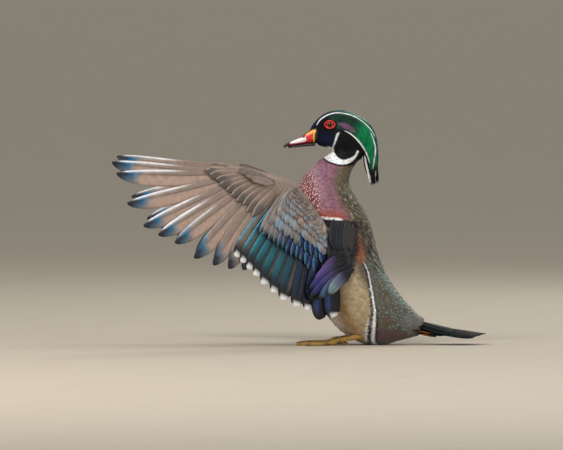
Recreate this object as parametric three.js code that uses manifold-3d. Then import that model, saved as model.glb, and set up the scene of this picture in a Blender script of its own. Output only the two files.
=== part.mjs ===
// A drake wood duck rearing up on its feet and hind belly, both wings thrown forward, life size.
// Millimetres, +Z up, the bill points along -X.
// The origin is the middle of the small flat under the hind belly.
// One side is built at negative Y and mirrored in the plane Y = 0.
import * as THREE from "three";
import { mergeVertices } from "three/addons/utils/BufferGeometryUtils.js";
import Module from "manifold-3d";

const wasm = await Module();
wasm.setup();

// Driving dimensions, each a real length on the bird.
const GAP = 0.3;
const TAIL_LENGTH = 83;
const TAIL_HALF_SPREAD = 13;
const EYE_RADIUS = 5.4;
const FEATHER_THICKNESS = 0.7;
const PRIMARIES = 10;
const SECONDARIES = 9;
const SEED = 11;

const COLOURS = {
  torso: 0xb08a4a, neck: 0x7a3a48, head: 0x14231c, crest: 0x1f6b45,
  bill_upper: 0xd8404a, bill_lower: 0x1a1616,
  eye: 0xd82018, tail: 0x121214, wing: 0x6b5648, leg: 0xc79a3a, foot: 0xc79a3a,
};

const v3 = (x, y, z) => new THREE.Vector3(x, y, z);
const mix = (a, b, t) => a + (b - a) * t;

let drawState = SEED;
function draw(low, high) {
  drawState = (drawState * 1103515245 + 12345) % 2147483648;
  return mix(low, high, drawState / 2147483648);
}

// A smooth curve through a table whose rows are stations, read at t from 0 to 1.
function tableAt(rows, t) {
  const place = Math.min(Math.max(t, 0), 1) * (rows.length - 1);
  const i = Math.min(Math.floor(place), rows.length - 2);
  const f = place - i;
  const row = (k) => rows[Math.min(Math.max(k, 0), rows.length - 1)];
  const spline = (p, a, b, n) =>
    0.5 * (2 * a + (b - p) * f + (2 * p - 5 * a + 4 * b - n) * f * f + (3 * a - p - 3 * b + n) * f * f * f);
  return rows[0].map((_, c) => spline(row(i - 1)[c], row(i)[c], row(i + 1)[c], row(i + 2)[c]));
}

// Rings of equal count become one closed body, each end closed by a flat fan.
function loft(rings) {
  const sides = rings[0].length;
  const points = rings.flat().map((p) => p.clone());
  const faces = [];
  for (let r = 0; r + 1 < rings.length; r++)
    for (let s = 0; s < sides; s++) {
      const a = r * sides + s;
      const b = r * sides + ((s + 1) % sides);
      faces.push(a, b, a + sides, b, b + sides, a + sides);
    }
  const last = (rings.length - 1) * sides;
  for (let s = 1; s + 1 < sides; s++) {
    faces.push(0, s + 1, s);
    faces.push(last, last + s, last + s + 1);
  }
  const geometry = new THREE.BufferGeometry().setFromPoints(points);
  geometry.setIndex(faces);
  return geometry;
}

// The geometry as a manifold solid, turned inside out first where its faces point inwards.
function solid(geometry) {
  const bare = new THREE.BufferGeometry().setAttribute("position", geometry.getAttribute("position"));
  if (geometry.index) bare.setIndex(geometry.index);
  const merged = mergeVertices(bare, 1e-4);
  const make = (triVerts) =>
    new wasm.Manifold(
      new wasm.Mesh({
        numProp: 3,
        vertProperties: new Float32Array(merged.attributes.position.array),
        triVerts,
      }),
    );
  const faces = new Uint32Array(merged.index.array);
  const made = make(faces);
  return made.volume() < 0 ? make(faces.slice().reverse()) : made;
}

function joined(geometries) {
  return geometries.map(solid).reduce((sum, next) => sum.add(next));
}

function largest(body) {
  return body.decompose().reduce((best, next) => (next.volume() > best.volume() ? next : best));
}

function geometryOf(body) {
  const { vertProperties, triVerts, numProp } = body.getMesh();
  const count = vertProperties.length / numProp;
  const positions = new Float32Array(count * 3);
  for (let i = 0; i < count; i++) positions.set(vertProperties.subarray(i * numProp, i * numProp + 3), i * 3);
  const geometry = new THREE.BufferGeometry();
  geometry.setAttribute("position", new THREE.BufferAttribute(positions, 3));
  geometry.setIndex(new THREE.BufferAttribute(new Uint32Array(triVerts), 1));
  return geometry;
}

function mirrored(geometry) {
  const copy = geometry.clone().scale(1, -1, 1);
  copy.setIndex([...geometry.index.array].reverse());
  return copy;
}

function box(low, high) {
  const geometry = new THREE.BoxGeometry(high.x - low.x, high.y - low.y, high.z - low.z);
  return solid(geometry.translate((low.x + high.x) / 2, (low.y + high.y) / 2, (low.z + high.z) / 2));
}

// A slab GAP thick through a point, square to a direction, which parts two nodes.
function slab(point, direction) {
  const geometry = new THREE.BoxGeometry(160, 160, GAP);
  const turn = new THREE.Quaternion().setFromUnitVectors(v3(0, 0, 1), direction.clone().normalize());
  geometry.applyQuaternion(turn);
  return solid(geometry.translate(point.x, point.y, point.z));
}

// A ring between an upper and a lower point of the side profile, half as wide as halfWidth each way.
function profileRing(upperX, upperZ, lowerX, lowerZ, halfWidth, sides, power = 2.2) {
  const ring = [];
  for (let s = 0; s < sides; s++) {
    const angle = (2 * Math.PI * s) / sides;
    const [c, d] = [Math.cos(angle), Math.sin(angle)];
    const up = Math.sign(c) * Math.abs(c) ** (2 / power);
    const out = Math.sign(d) * Math.abs(d) ** (2 / power);
    const t = (1 - up) / 2;
    ring.push(v3(mix(upperX, lowerX, t), out * halfWidth, mix(upperZ, lowerZ, t)));
  }
  return ring;
}

function profileLoft(stations, steps, sides, grow = 0) {
  const rings = [];
  for (let i = 0; i <= steps; i++) {
    const [ux, uz, lx, lz, w] = tableAt(stations, i / steps);
    const out = new THREE.Vector2(ux - lx, uz - lz).normalize().multiplyScalar(grow);
    rings.push(profileRing(ux + out.x, uz + out.y, lx - out.x, lz - out.y, w + grow, sides));
  }
  return loft(rings);
}

// Side profile of torso and neck, tail end first: back X, back Z, belly X, belly Z, half width.
const BODY = [
  [64, 30, 61, 13, 9],
  [54, 36, 46, 9, 17],
  [40, 50, 26, 4, 27],
  [27, 66, 4, -2.4, 37],
  [15, 84, -22, 4, 45],
  [5, 102, -48, 22, 49],
  [0, 121, -69, 53, 50],
  [-4, 138, -82, 93, 50],
  [-9, 153, -89, 133, 48],
  [-17, 168, -94, 167, 44],
  [-27.5, 185, -94, 194, 38],
  [-31, 199, -84, 211, 31],
  [-29, 210, -70, 224, 24.5],
  [-23, 221, -58, 231, 20],
  [-14, 235, -50, 238, 17],
];

// Side profile of the head, forehead first: crown X, crown Z, throat X, throat Z, half width.
const HEAD = [
  [-81, 261, -75, 245, 5.4],
  [-74, 272, -70, 243, 10.2],
  [-64, 281, -62, 241, 14.6],
  [-54, 285.4, -54, 239, 17],
  [-43, 286.5, -46, 235, 18.2],
  [-31, 284.5, -37, 230, 18],
  [-19, 278.5, -28, 226, 16],
  [-9, 270, -21, 224, 12.5],
  [-3, 259, -16, 227, 8],
];

const BILL = [
  [-68.5, 268.6, -70, 246.6, 11],
  [-76.5, 264, -77, 246.2, 9.4],
  [-84, 259, -84, 245.6, 8.2],
  [-92, 253.5, -92, 244.5, 7.8],
  [-100, 249.6, -100, 243, 8],
  [-106, 247, -106.4, 241.6, 7],
  [-110.6, 244, -110.6, 240, 3.6],
];

const LOWER_BILL = [
  [-69, 245.9, -69, 241.6, 6.4],
  [-77, 245.6, -77, 241.4, 6.6],
  [-84, 245, -84, 241, 6.3],
  [-92, 243.9, -92, 240.4, 6.2],
  [-100, 242.4, -100, 239.4, 6],
  [-105, 241.2, -105, 239, 4.2],
];

const EYE = v3(-54.6, -14.4, 268.6);
const NOSTRIL = v3(-87, -5.6, 253.4);

// Outlines of the three kinds of feather: place along it, and share of its full width there.
const SHAPES = {
  flight: [[0, 0.25], [0.2, 0.78], [0.6, 1], [0.92, 0.74], [1, 0.25]],
  covert: [[0, 0.4], [0.45, 0.95], [0.85, 0.85], [1, 0.35]],
  lock: [[0, 0.8], [0.3, 1], [0.65, 0.75], [1, 0.12]],
};

// One feather: a flat blade from root to tip with a leading and a trailing web.
// lead is the leading web's share of the width.
// up is the outer side's normal, tilt lifts the leading web, and curl bends the tip away from up.
// bow swells the middle towards up, and sweep towards the leading edge.
function feather({
  root, tip, up, width, tilt = 0, curl = 0, bow = 0, sweep = 0, lead = 0.42, shape = "flight",
}) {
  const along = tip.clone().sub(root);
  const length = along.length();
  along.normalize();
  const leading = along.clone().cross(up).normalize();
  const outer = leading.clone().cross(along).normalize();
  const side = leading.clone().multiplyScalar(Math.cos(tilt)).addScaledVector(outer, Math.sin(tilt));
  const rings = SHAPES[shape].map(([t, share]) => {
    const middle = root.clone().addScaledVector(along, t * length);
    middle.addScaledVector(outer, bow * 4 * t * (1 - t) - curl * t * t);
    middle.addScaledVector(leading, sweep * t * (1 - t) * 4);
    const half = (FEATHER_THICKNESS / 2) * (t === 1 ? 0.7 : 1);
    const corner = (across, high) =>
      middle.clone().addScaledVector(side, across * width * share).addScaledVector(outer, high * half);
    return [corner(lead, 1), corner(lead, -1), corner(lead - 1, -1), corner(lead - 1, 1)];
  });
  return loft(rings);
}

// The near wing's sheet: it stands out (negative Y) as it runs forward, and rises as it stands out.
const WING_SLOPE = 0.475;
const WING_RISE = 0.028;
const WING_ROOT_X = -45;
const WING_ROOT_Y = -46;
const WING_UP = v3(WING_SLOPE, -1, 0).normalize();
function wingPoint(x, z, lift = 0) {
  const y = WING_ROOT_Y + (x - WING_ROOT_X) * WING_SLOPE;
  return v3(x, y, z + WING_RISE * Math.abs(y)).addScaledVector(WING_UP, lift);
}

// Arm and hand from the shoulder to the hand's end: middle X, middle Z, half chord, half thickness.
const ARM = [
  [-34, 134, 8, 7],
  [-50, 131, 10, 9],
  [-67, 138, 13, 9],
  [-81, 154, 17, 8],
  [-96, 174, 18, 6.5],
  [-113, 188, 14.5, 5],
  [-134, 198, 9, 3.8],
  [-158, 205.5, 6.5, 2.8],
  [-180, 210.5, 3.5, 1.6],
];

function armSolid() {
  const steps = 11;
  const sides = 10;
  const rings = [];
  for (let i = 0; i <= steps; i++) {
    const [x, z, chord, thick] = tableAt(ARM, i / steps);
    const next = tableAt(ARM, Math.min(1, i / steps + 0.01));
    const last = tableAt(ARM, Math.max(0, i / steps - 0.01));
    const along = wingPoint(next[0], next[1]).sub(wingPoint(last[0], last[1])).normalize();
    const across = along.clone().cross(WING_UP).normalize();
    const middle = wingPoint(x, z, -thick * 0.4);
    const ring = [];
    for (let s = 0; s < sides; s++) {
      const angle = (2 * Math.PI * s) / sides;
      const flat = middle.clone().addScaledVector(across, Math.cos(angle) * chord);
      ring.push(flat.addScaledVector(WING_UP, Math.sin(angle) * thick));
    }
    rings.push(ring);
  }
  return loft(rings);
}

// Tips of the flight feathers in the side view, X and Z, innermost primary first.
const PRIMARY_TIPS = [
  [-161, 91.5], [-178, 93], [-196.5, 97.6], [-219, 106], [-242, 124.5],
  [-261.5, 134], [-279, 145], [-298, 172], [-310.5, 208], [-315.5, 221.5],
];
const SECONDARY_TIPS = [
  [-171, 108], [-163.5, 101], [-156, 93], [-148, 85], [-139, 74.5],
  [-127, 64.5], [-116, 55], [-100, 47], [-85.5, 42.5],
];

function primaries() {
  return PRIMARY_TIPS.map(([x, z], k) => {
    const t = k / (PRIMARIES - 1);
    const rootAt = wingPoint(mix(-117, -173, t), mix(192, 209.5, t), -1);
    return feather({
      root: rootAt, tip: wingPoint(x, z, mix(3, -1, t)), up: WING_UP, width: mix(24, 20, t),
      tilt: 0.09, curl: mix(2, 5, t), sweep: mix(3, -2, t), lead: mix(0.4, 0.28, t),
    });
  });
}

function secondaries() {
  return SECONDARY_TIPS.map(([x, z], k) => {
    const t = k / (SECONDARIES - 1);
    const rootAt = wingPoint(mix(-110, -66, t), mix(189, 144, t), mix(-0.5, 1.5, t));
    return feather({
      root: rootAt, tip: wingPoint(x, z, mix(3.5, 7, t)), up: WING_UP, width: mix(19, 22, t),
      tilt: 0.1, curl: 2, sweep: 3,
    });
  });
}

// Long inner feathers that hang behind the elbow: tip X, tip Z, root X, root Z, width.
const TERTIALS = [
  [-72, 31, -62, 132, 24], [-57, 33.5, -54, 128, 24], [-82, 55, -62, 134, 23], [-64, 62, -52, 130, 24],
];

// The black feathers over the shoulder, and the shorter coloured ones that curve forward from them,
// in the same terms.
const SCAPULARS = [
  [-58, 74, -55, 149, 22], [-48, 68, -48, 150, 22], [-39, 72, -41, 150, 22], [-32, 82, -34, 146, 19],
  [-47, 96, -50, 150, 21], [-36, 102, -39, 148, 20], [-84, 70, -46, 104, 13], [-74, 60, -42, 98, 14],
  [-62, 55, -37, 96, 14],
];

function innerFeathers() {
  const hang = ([x, z, rx, rz, width], lift, rise) =>
    feather({
      root: wingPoint(rx, rz, lift), tip: wingPoint(x, z, lift + rise), up: WING_UP, width,
      tilt: 0.08, curl: 1, sweep: 2, shape: "covert",
    });
  return [
    ...TERTIALS.map((row, k) => hang(row, 3, 5 + k * 1.4)),
    ...SCAPULARS.map((row, k) => hang(row, 6, 5 + k * 0.9)),
  ];
}

// Rows of covert feathers.
// In the side view a row's roots run from one place X, Z to another, and so do its tips.
const COVERT_ROWS = [
  {
    count: 7, width: 17, lift: 2.6, rise: 0.8,
    roots: [[-118, 193], [-168, 209]], tips: [[-150, 155], [-212, 213]],
  },
  {
    count: 7, width: 20, lift: 5, rise: 4,
    roots: [[-106, 190], [-62, 138]], tips: [[-143, 136], [-80, 92]],
  },
  {
    count: 7, width: 19, lift: 7.2, rise: 4.2,
    roots: [[-100, 189], [-67, 143]], tips: [[-123, 158], [-69, 108]],
  },
  {
    count: 4, width: 23, lift: 8.6, rise: 3.6,
    roots: [[-97, 190], [-74, 156]], tips: [[-107, 170], [-67, 130]],
  },
];

// A place on the wing's sheet, t of the way from one place of the side view to another.
function between([from, to], t, lift, scatter = 0) {
  const x = mix(from[0], to[0], t) + draw(-scatter, scatter);
  return wingPoint(x, mix(from[1], to[1], t) + draw(-scatter, scatter), lift);
}

function coverts() {
  return COVERT_ROWS.flatMap(({ count, roots, tips, width, lift, rise }) =>
    Array.from({ length: count }, (_, k) => {
      const t = k / (count - 1);
      return feather({
        root: between(roots, t, lift * 0.4), tip: between(tips, t, lift + rise, 1), up: WING_UP, width,
        tilt: 0.1, curl: 1, shape: "covert",
      });
    }),
  );
}

// Three stiff feathers on the thumb, and one row that lines the under side.
function thumbAndLining() {
  const thumb = [0, 1, 2].map((k) =>
    feather({
      root: wingPoint(-124, 200 - k * 2, 3), tip: wingPoint(-168 + k * 7, 214 - k * 5, 5 + k), up: WING_UP,
      width: 9, tilt: 0.05, shape: "covert",
    }),
  );
  const lining = [0, 0.25, 0.5, 0.75, 1].map((t) =>
    feather({
      root: between([[-76, 158], [-160, 204]], t, -3),
      tip: between([[-98, 108], [-196, 186]], t, -4),
      up: WING_UP,
      width: 19, tilt: 0.1, curl: 2, shape: "covert",
    }),
  );
  return [...thumb, ...lining];
}

// The tail: a low arch of long feathers over a short root, with shorter ones above and below it.
const TAIL_ROOT = v3(50, 0, 24);
const TAIL_DROP = 0.12;

function tailFan(count, length, spread, width, z, drop, start) {
  return Array.from({ length: count }, (_, k) => {
    const t = count === 1 ? 0 : (2 * k) / (count - 1) - 1;
    const angle = THREE.MathUtils.degToRad(spread * t);
    const reach = length * (1 - 0.16 * t * t);
    const sag = drop * reach + 1.5 * t * t;
    const root = v3(TAIL_ROOT.x + start, t * 9, TAIL_ROOT.z + z - 5 * t * t + 1.6 * Math.abs(t));
    const tip = v3(root.x + reach * Math.cos(angle), root.y + reach * Math.sin(angle), root.z - sag);
    const up = v3(0, 0.7 * t, 1).normalize();
    return feather({ root, tip, up, width, tilt: t < 0 ? 0.1 : -0.1, lead: 0.5, curl: 1 });
  });
}

// The crest's fall from the crown: outer X, outer Z, inner X, inner Z, half width.
const CREST = [
  [-30, 283.5, -26, 262, 12],
  [-15, 276.6, -18, 252, 11.5],
  [-4.6, 266, -15, 241, 9.5],
  [1, 253, -14, 231, 8],
  [3, 239, -13, 222, 6.5],
  [3.4, 225, -11, 214, 5],
  [3, 212, -8, 206, 3.4],
  [2, 199, -4, 197, 1.6],
];

// Tiers of locks from the top down: count, and where along the fall their roots and tips are.
const CREST_TIERS = [
  { count: 5, from: 0.04, to: 0.46 },
  { count: 5, from: 0.26, to: 0.68 },
  { count: 4, from: 0.48, to: 0.86 },
  { count: 4, from: 0.64, to: 1 },
];
const CREST_CORE_END = 0.84;
const LOCK_WIDTH = 10.5;

// A place on the crest: s along its fall, angle round it from the outer edge, out above its surface.
function crestPoint(s, angle, out = 0) {
  const [outerX, outerZ, innerX, innerZ, half] = tableAt(CREST, s);
  const depth = Math.hypot(outerX - innerX, outerZ - innerZ) / 2;
  const along = (Math.cos(angle) * (depth + out)) / depth;
  const x = mix(outerX, innerX, (1 - along) / 2);
  return v3(x, Math.sin(angle) * (half + out), mix(outerZ, innerZ, (1 - along) / 2));
}

function crestCore() {
  const rings = [];
  for (let i = 0; i <= 7; i++) {
    const t = (CREST_CORE_END * i) / 7;
    rings.push(Array.from({ length: 10 }, (_, k) => crestPoint(t, (k * Math.PI) / 5, -1)));
  }
  return loft(rings);
}

function crestLocks() {
  return CREST_TIERS.flatMap(({ count, from, to }) =>
    Array.from({ length: count }, (_, k) => {
      const angle = ((k + 0.5) / count - 0.5) * 2 * Math.PI;
      const end = Math.min(1, to + draw(-0.04, 0.04));
      const root = crestPoint(from, angle, -1.2);
      const tip = crestPoint(end, angle, 1);
      const middle = crestPoint((from + end) / 2, angle, 0.4);
      const up = middle.clone().sub(crestPoint((from + end) / 2, angle, -0.6)).normalize();
      const bow = middle.sub(root.clone().add(tip).divideScalar(2)).dot(up);
      return feather({ root, tip, up, bow, width: LOCK_WIDTH * mix(1, 0.7, from), lead: 0.5, shape: "lock" });
    }),
  );
}

// A limb of round section through points with radii.
function limb(points, sides = 10) {
  const rings = points.map(([x, y, z, r], i) => {
    const before = v3(...points[Math.max(0, i - 1)].slice(0, 3));
    const after = v3(...points[Math.min(points.length - 1, i + 1)].slice(0, 3));
    const along = after.sub(before).normalize();
    const across = v3(0, 1, 0).cross(along).normalize();
    const third = along.clone().cross(across);
    return Array.from({ length: sides }, (_, s) => {
      const angle = (2 * Math.PI * s) / sides;
      return v3(x, y, z)
        .addScaledVector(across, Math.cos(angle) * r)
        .addScaledVector(third, Math.sin(angle) * r);
    });
  });
  return loft(rings);
}

// Leg: feathered thigh, ankle at the back, shank sloping forward to the foot. Toes run forward on the floor.
const ANKLE = [-17, -25, 12];
const FOOT = [-48, -27, 5.5];
const TOES = [[-86, -46], [-96, -29], [-88, -12]];

function legGeometries() {
  const thigh = limb([[-22, -22, 44, 15], [-21, -25, 30, 12], [-18, -26, 19, 8], [...ANKLE, 4.6]]);
  const shank = limb([[-12, -25, 12.5, 3.4], [...ANKLE, 4.2], [-31, -26, 8.6, 2.9], [...FOOT, 3.4]]);
  return [thigh, shank];
}

function footGeometries() {
  const knuckle = new THREE.SphereGeometry(5, 10, 6).translate(FOOT[0] - 2, FOOT[1], 4);
  const toes = TOES.map(([x, y]) => {
    const at = (t, z, r) => [mix(FOOT[0], x, t), mix(FOOT[1], y, t), z, r];
    return limb([
      at(-0.02, 4, 3), at(0.3, 2.4, 2.5), at(0.6, 2.1, 2.3), at(0.86, 1.9, 1.9), at(1.02, 0.9, 0.7),
    ], 6);
  });
  const behind = (back, side, z, r) => [FOOT[0] + back, FOOT[1] + side, z, r];
  const hindToe = limb([behind(1, 3, 4, 2.2), behind(9, 5, 2, 1.8), behind(16, 6, 0.9, 0.7)], 6);
  return [knuckle, ...toes, hindToe, webGeometry()];
}

// The web between the toes: a thin sheet whose edge is scalloped inwards between one toe and the next.
function webGeometry() {
  const heel = new THREE.Vector2(FOOT[0], FOOT[1]);
  const outline = [heel];
  for (let s = 0; s <= 10; s++) {
    const [x, y] = tableAt(TOES, s / 10);
    const scallop = 0.1 + 0.16 * Math.abs(Math.sin((Math.PI * s) / 5));
    outline.push(new THREE.Vector2(x, y).lerp(heel, scallop));
  }
  return new THREE.ExtrudeGeometry(new THREE.Shape(outline), { depth: 1.2, bevelEnabled: false });
}

const above = box(v3(-400, -300, 0), v3(300, 300, 400));
const onFloor = (body) => body.intersect(above);

const torsoAndNeck = solid(profileLoft(BODY, 26, 22));
const headSolid = solid(profileLoft(HEAD, 11, 18));
const eyeBall = new THREE.SphereGeometry(EYE_RADIUS, 12, 8).translate(EYE.x, EYE.y, EYE.z);
const eyeSocket = new THREE.SphereGeometry(EYE_RADIUS + GAP, 12, 8).translate(EYE.x, EYE.y, EYE.z);
const eyeDirection = v3(-0.12, -1, 0.1).normalize();

function lidRing() {
  const ring = new THREE.TorusGeometry(EYE_RADIUS + 0.6, 1.3, 5, 14).scale(1.12, 0.92, 1);
  ring.applyQuaternion(new THREE.Quaternion().setFromUnitVectors(v3(0, 0, 1), eyeDirection));
  return ring.translate(EYE.x, EYE.y - 1.6, EYE.z);
}

const lids = lidRing();
const bird = torsoAndNeck.add(headSolid).add(solid(lids)).add(solid(mirrored(lids)));
const NECK_TOP = { point: v3(-39, 0, 229), direction: v3(0.42, 0, 1) };
const NECK_BASE = { point: v3(-57, 0, 204), direction: v3(-0.3, 0, 1) };
const TAIL_BASE = { point: v3(57, 0, 20), direction: v3(1, 0, -0.35) };

const bodyParts = onFloor(bird)
  .subtract(slab(NECK_TOP.point, NECK_TOP.direction))
  .subtract(slab(NECK_BASE.point, NECK_BASE.direction))
  .subtract(slab(TAIL_BASE.point, TAIL_BASE.direction))
  .subtract(solid(eyeSocket))
  .subtract(solid(mirrored(eyeSocket)));
const pieces = bodyParts.decompose().sort((a, b) => b.volume() - a.volume());
const middleX = (body) => (body.boundingBox().min[0] + body.boundingBox().max[0]) / 2;
const topZ = (body) => body.boundingBox().max[2];
const [torsoPiece, neckPiece, headPiece] = pieces.slice(0, 3).sort((a, b) => topZ(a) - topZ(b));
const rumpPiece = pieces.find((body) => middleX(body) > TAIL_BASE.point.x - 4);

const grownBody = solid(profileLoft(BODY, 26, 22, GAP));
const billSolid = solid(profileLoft(BILL, 9, 16)).subtract(solid(nostrilGeometry()));
const lowerBillSolid = solid(profileLoft(LOWER_BILL, 6, 12));

function nostrilGeometry() {
  return new THREE.SphereGeometry(1, 10, 8).scale(3, 9, 1.3).rotateY(0.5).translate(NOSTRIL.x, 0, NOSTRIL.z);
}

const grownHead = solid(profileLoft(HEAD, 11, 18, GAP));
const grownBill = solid(profileLoft(BILL, 9, 16, GAP)).add(solid(profileLoft(LOWER_BILL, 6, 12, GAP)));
const head = headPiece.subtract(grownBill);
const crestWhole = joined([crestCore(), ...crestLocks()]);
const crest = largest(crestWhole.subtract(grownHead).subtract(grownBody));

const tailFeathers = joined([
  ...tailFan(7, TAIL_LENGTH, TAIL_HALF_SPREAD, 20, 0, TAIL_DROP, 2),
  ...tailFan(3, 44, 12, 19, 5, 0.22, 6),
  ...tailFan(2, 38, 12, 19, -7, -0.06, 8),
]);

// Everything on the tail's own side of the cut at the tail's base.
function tailSide() {
  const geometry = new THREE.BoxGeometry(300, 300, 300).translate(0, 0, 150 + GAP / 2);
  const back = TAIL_BASE.direction.clone().normalize();
  const turn = new THREE.Quaternion().setFromUnitVectors(v3(0, 0, 1), back);
  geometry.applyQuaternion(turn);
  return solid(geometry.translate(TAIL_BASE.point.x, TAIL_BASE.point.y, TAIL_BASE.point.z));
}

const tail = largest(onFloor(rumpPiece.add(tailFeathers.intersect(tailSide()))));

const longFeathers = [...primaries(), ...secondaries(), ...innerFeathers()];
const wingWhole = joined([armSolid(), ...longFeathers, ...coverts(), ...thumbAndLining()]);
const wing = largest(wingWhole.subtract(grownBody));

// The shank is cut across just behind the foot: what lies in front of the cut belongs to the foot.
const shankCutX = FOOT[0] + 4.6;
const inFront = (x) => box(v3(-110, -70, -5), v3(x, 0, 30));
const legWhole = joined(legGeometries());
const footWhole = joined(footGeometries());
const legTrimmed = legWhole.subtract(grownBody).subtract(footWhole).subtract(inFront(shankCutX + GAP));
const leg = largest(onFloor(legTrimmed));
const foot = largest(onFloor(footWhole.add(legWhole.intersect(inFront(shankCutX)))));

const root = new THREE.Group();

function addNode(name, geometry, colour, roughness = 0.8) {
  const material = new THREE.MeshStandardMaterial({ color: colour, roughness, metalness: 0 });
  const mesh = new THREE.Mesh(geometry, material);
  mesh.name = name;
  root.add(mesh);
}

function addPair(name, geometry, colour, roughness) {
  addNode(name + "_left", geometry, colour, roughness);
  addNode(name + "_right", mirrored(geometry), colour, roughness);
}

addNode("torso", geometryOf(torsoPiece), COLOURS.torso);
addNode("neck", geometryOf(neckPiece), COLOURS.neck);
addNode("head", geometryOf(largest(head)), COLOURS.head);
addNode("crest", geometryOf(crest), COLOURS.crest);
addNode("bill_upper", geometryOf(billSolid), COLOURS.bill_upper, 0.4);
addNode("bill_lower", geometryOf(lowerBillSolid), COLOURS.bill_lower, 0.4);
addNode("tail", geometryOf(tail), COLOURS.tail);
addPair("eye", geometryOf(solid(eyeBall)), COLOURS.eye, 0.1);
addPair("wing", geometryOf(wing), COLOURS.wing);
addPair("leg", geometryOf(leg), COLOURS.leg);
addPair("foot", geometryOf(foot), COLOURS.foot);

export default root;
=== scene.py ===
"""Looks of a life-size drake wood duck that rears up with both wings thrown forward.

Lengths in this script are millimetres until a mesh is made, which is in metres.
The bill points along -X, +Z is up, and the left wing is on the -Y side.
"""

import itertools
import math
from functools import partial

import bpy
import numpy as np
from mathutils import Matrix, Vector
from mathutils.bvhtree import BVHTree


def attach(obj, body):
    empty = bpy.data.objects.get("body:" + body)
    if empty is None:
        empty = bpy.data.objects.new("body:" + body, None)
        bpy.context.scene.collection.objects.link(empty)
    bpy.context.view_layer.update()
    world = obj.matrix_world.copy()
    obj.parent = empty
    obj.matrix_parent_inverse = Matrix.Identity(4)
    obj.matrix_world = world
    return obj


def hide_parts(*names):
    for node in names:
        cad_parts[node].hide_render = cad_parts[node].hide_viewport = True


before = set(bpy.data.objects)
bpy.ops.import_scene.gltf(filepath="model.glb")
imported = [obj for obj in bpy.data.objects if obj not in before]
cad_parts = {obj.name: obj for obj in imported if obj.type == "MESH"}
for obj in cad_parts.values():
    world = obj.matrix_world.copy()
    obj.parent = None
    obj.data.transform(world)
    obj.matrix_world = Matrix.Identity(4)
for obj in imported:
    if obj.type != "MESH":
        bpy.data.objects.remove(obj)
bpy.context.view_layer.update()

MM = 0.001
SEED = 7
rng = np.random.default_rng(SEED)

# Linear colours.
BLACK = (0.004, 0.0045, 0.006)
WHITE = (0.86, 0.86, 0.88)
EMERALD = (0.006, 0.2, 0.07)
TEAL = (0.004, 0.1, 0.085)
DARK_GREEN = (0.01, 0.035, 0.024)
NAVY = (0.012, 0.018, 0.06)
VIOLET = (0.26, 0.09, 0.22)
CHESTNUT = (0.22, 0.035, 0.03)
MAUVE = (0.24, 0.1, 0.15)
OLIVE = (0.13, 0.1, 0.05)
RUST = (0.26, 0.08, 0.03)
RED_BROWN = (0.34, 0.07, 0.035)
GOLD = (0.36, 0.17, 0.05)
BUFF = (0.44, 0.34, 0.2)
BELLY = (0.72, 0.66, 0.58)
UMBER = (0.05, 0.035, 0.022)
SLATE = (0.005, 0.006, 0.01)
BRONZE = (0.11, 0.075, 0.05)
TURQUOISE = (0.09, 0.3, 0.26)
SKY = (0.09, 0.35, 0.56)
WING_BROWN = (0.27, 0.2, 0.165)
WING_PINK = (0.5, 0.35, 0.29)
MAGENTA = (0.16, 0.03, 0.12)
GREY = (0.2, 0.19, 0.18)
SPOT_WHITE = (0.8, 0.78, 0.78)
ORANGE = (0.5, 0.16, 0.03)
LEG_YELLOW = (0.5, 0.27, 0.05)
WEB = (0.16, 0.11, 0.05)
BILL_RED = (0.62, 0.03, 0.04)
BILL_YELLOW = (0.85, 0.42, 0.02)
BILL_BLACK = (0.01, 0.009, 0.01)
BILL_WHITE = (0.85, 0.82, 0.82)
RUFF_COLOURS = np.array(
    [(0.012, 0.01, 0.008), (0.02, 0.016, 0.01), (0.1, 0.06, 0.03), (0.11, 0.1, 0.045), (0.4, 0.34, 0.23)]
)


def soft(value, low, high):
    """0 below low, 1 above high, smooth between."""
    t = np.clip((value - low) / (high - low), 0, 1)
    return t * t * (3 - 2 * t)


def lerp(a, b, t):
    return np.asarray(a) + (np.asarray(b) - np.asarray(a)) * t


def unit(v):
    return v / np.maximum(np.linalg.norm(v, axis=-1, keepdims=True), 1e-9)


def rows_of(n, colour):
    return np.tile(colour, (n, 1)).astype(float)


def paint(colour, new, mask):
    """colour with new laid over it by mask, row by row."""
    return colour + (np.asarray(new) - colour) * mask[:, None]


def gloss_mark(gloss):
    """Marks with no spots and no fine lines."""
    return np.stack([gloss * 0, gloss * 0, gloss], -1)


def jitter(amount):
    return rng.uniform(-amount, amount)


def circle(count):
    return np.linspace(0, 2 * math.pi, count, endpoint=False)


def flat_grid(rows, columns):
    """Two lists that hold each row value with each column value."""
    first, second = np.meshgrid(rows, columns, indexing="ij")
    return first.ravel(), second.ravel()


def rounded(angle):
    """Height and width of a slightly squared round section, each -1 to 1."""
    return (np.sign(v) * np.abs(v) ** (2 / 2.2) for v in (np.cos(angle), np.sin(angle)))


def curve_at(rows, t):
    """A smooth curve through the rows of a table, read at each t from 0 to 1."""
    rows = np.asarray(rows, float)
    t = np.clip(np.atleast_1d(t), 0, 1) * (len(rows) - 1)
    i = np.minimum(t.astype(int), len(rows) - 2)
    f = (t - i)[:, None]
    p, a = rows[np.maximum(i - 1, 0)], rows[i]
    b, n = rows[i + 1], rows[np.minimum(i + 2, len(rows) - 1)]
    square = 2 * p - 5 * a + 4 * b - n
    cube = 3 * a - p - 3 * b + n
    return 0.5 * (2 * a + (b - p) * f + square * f**2 + cube * f**3)


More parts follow.
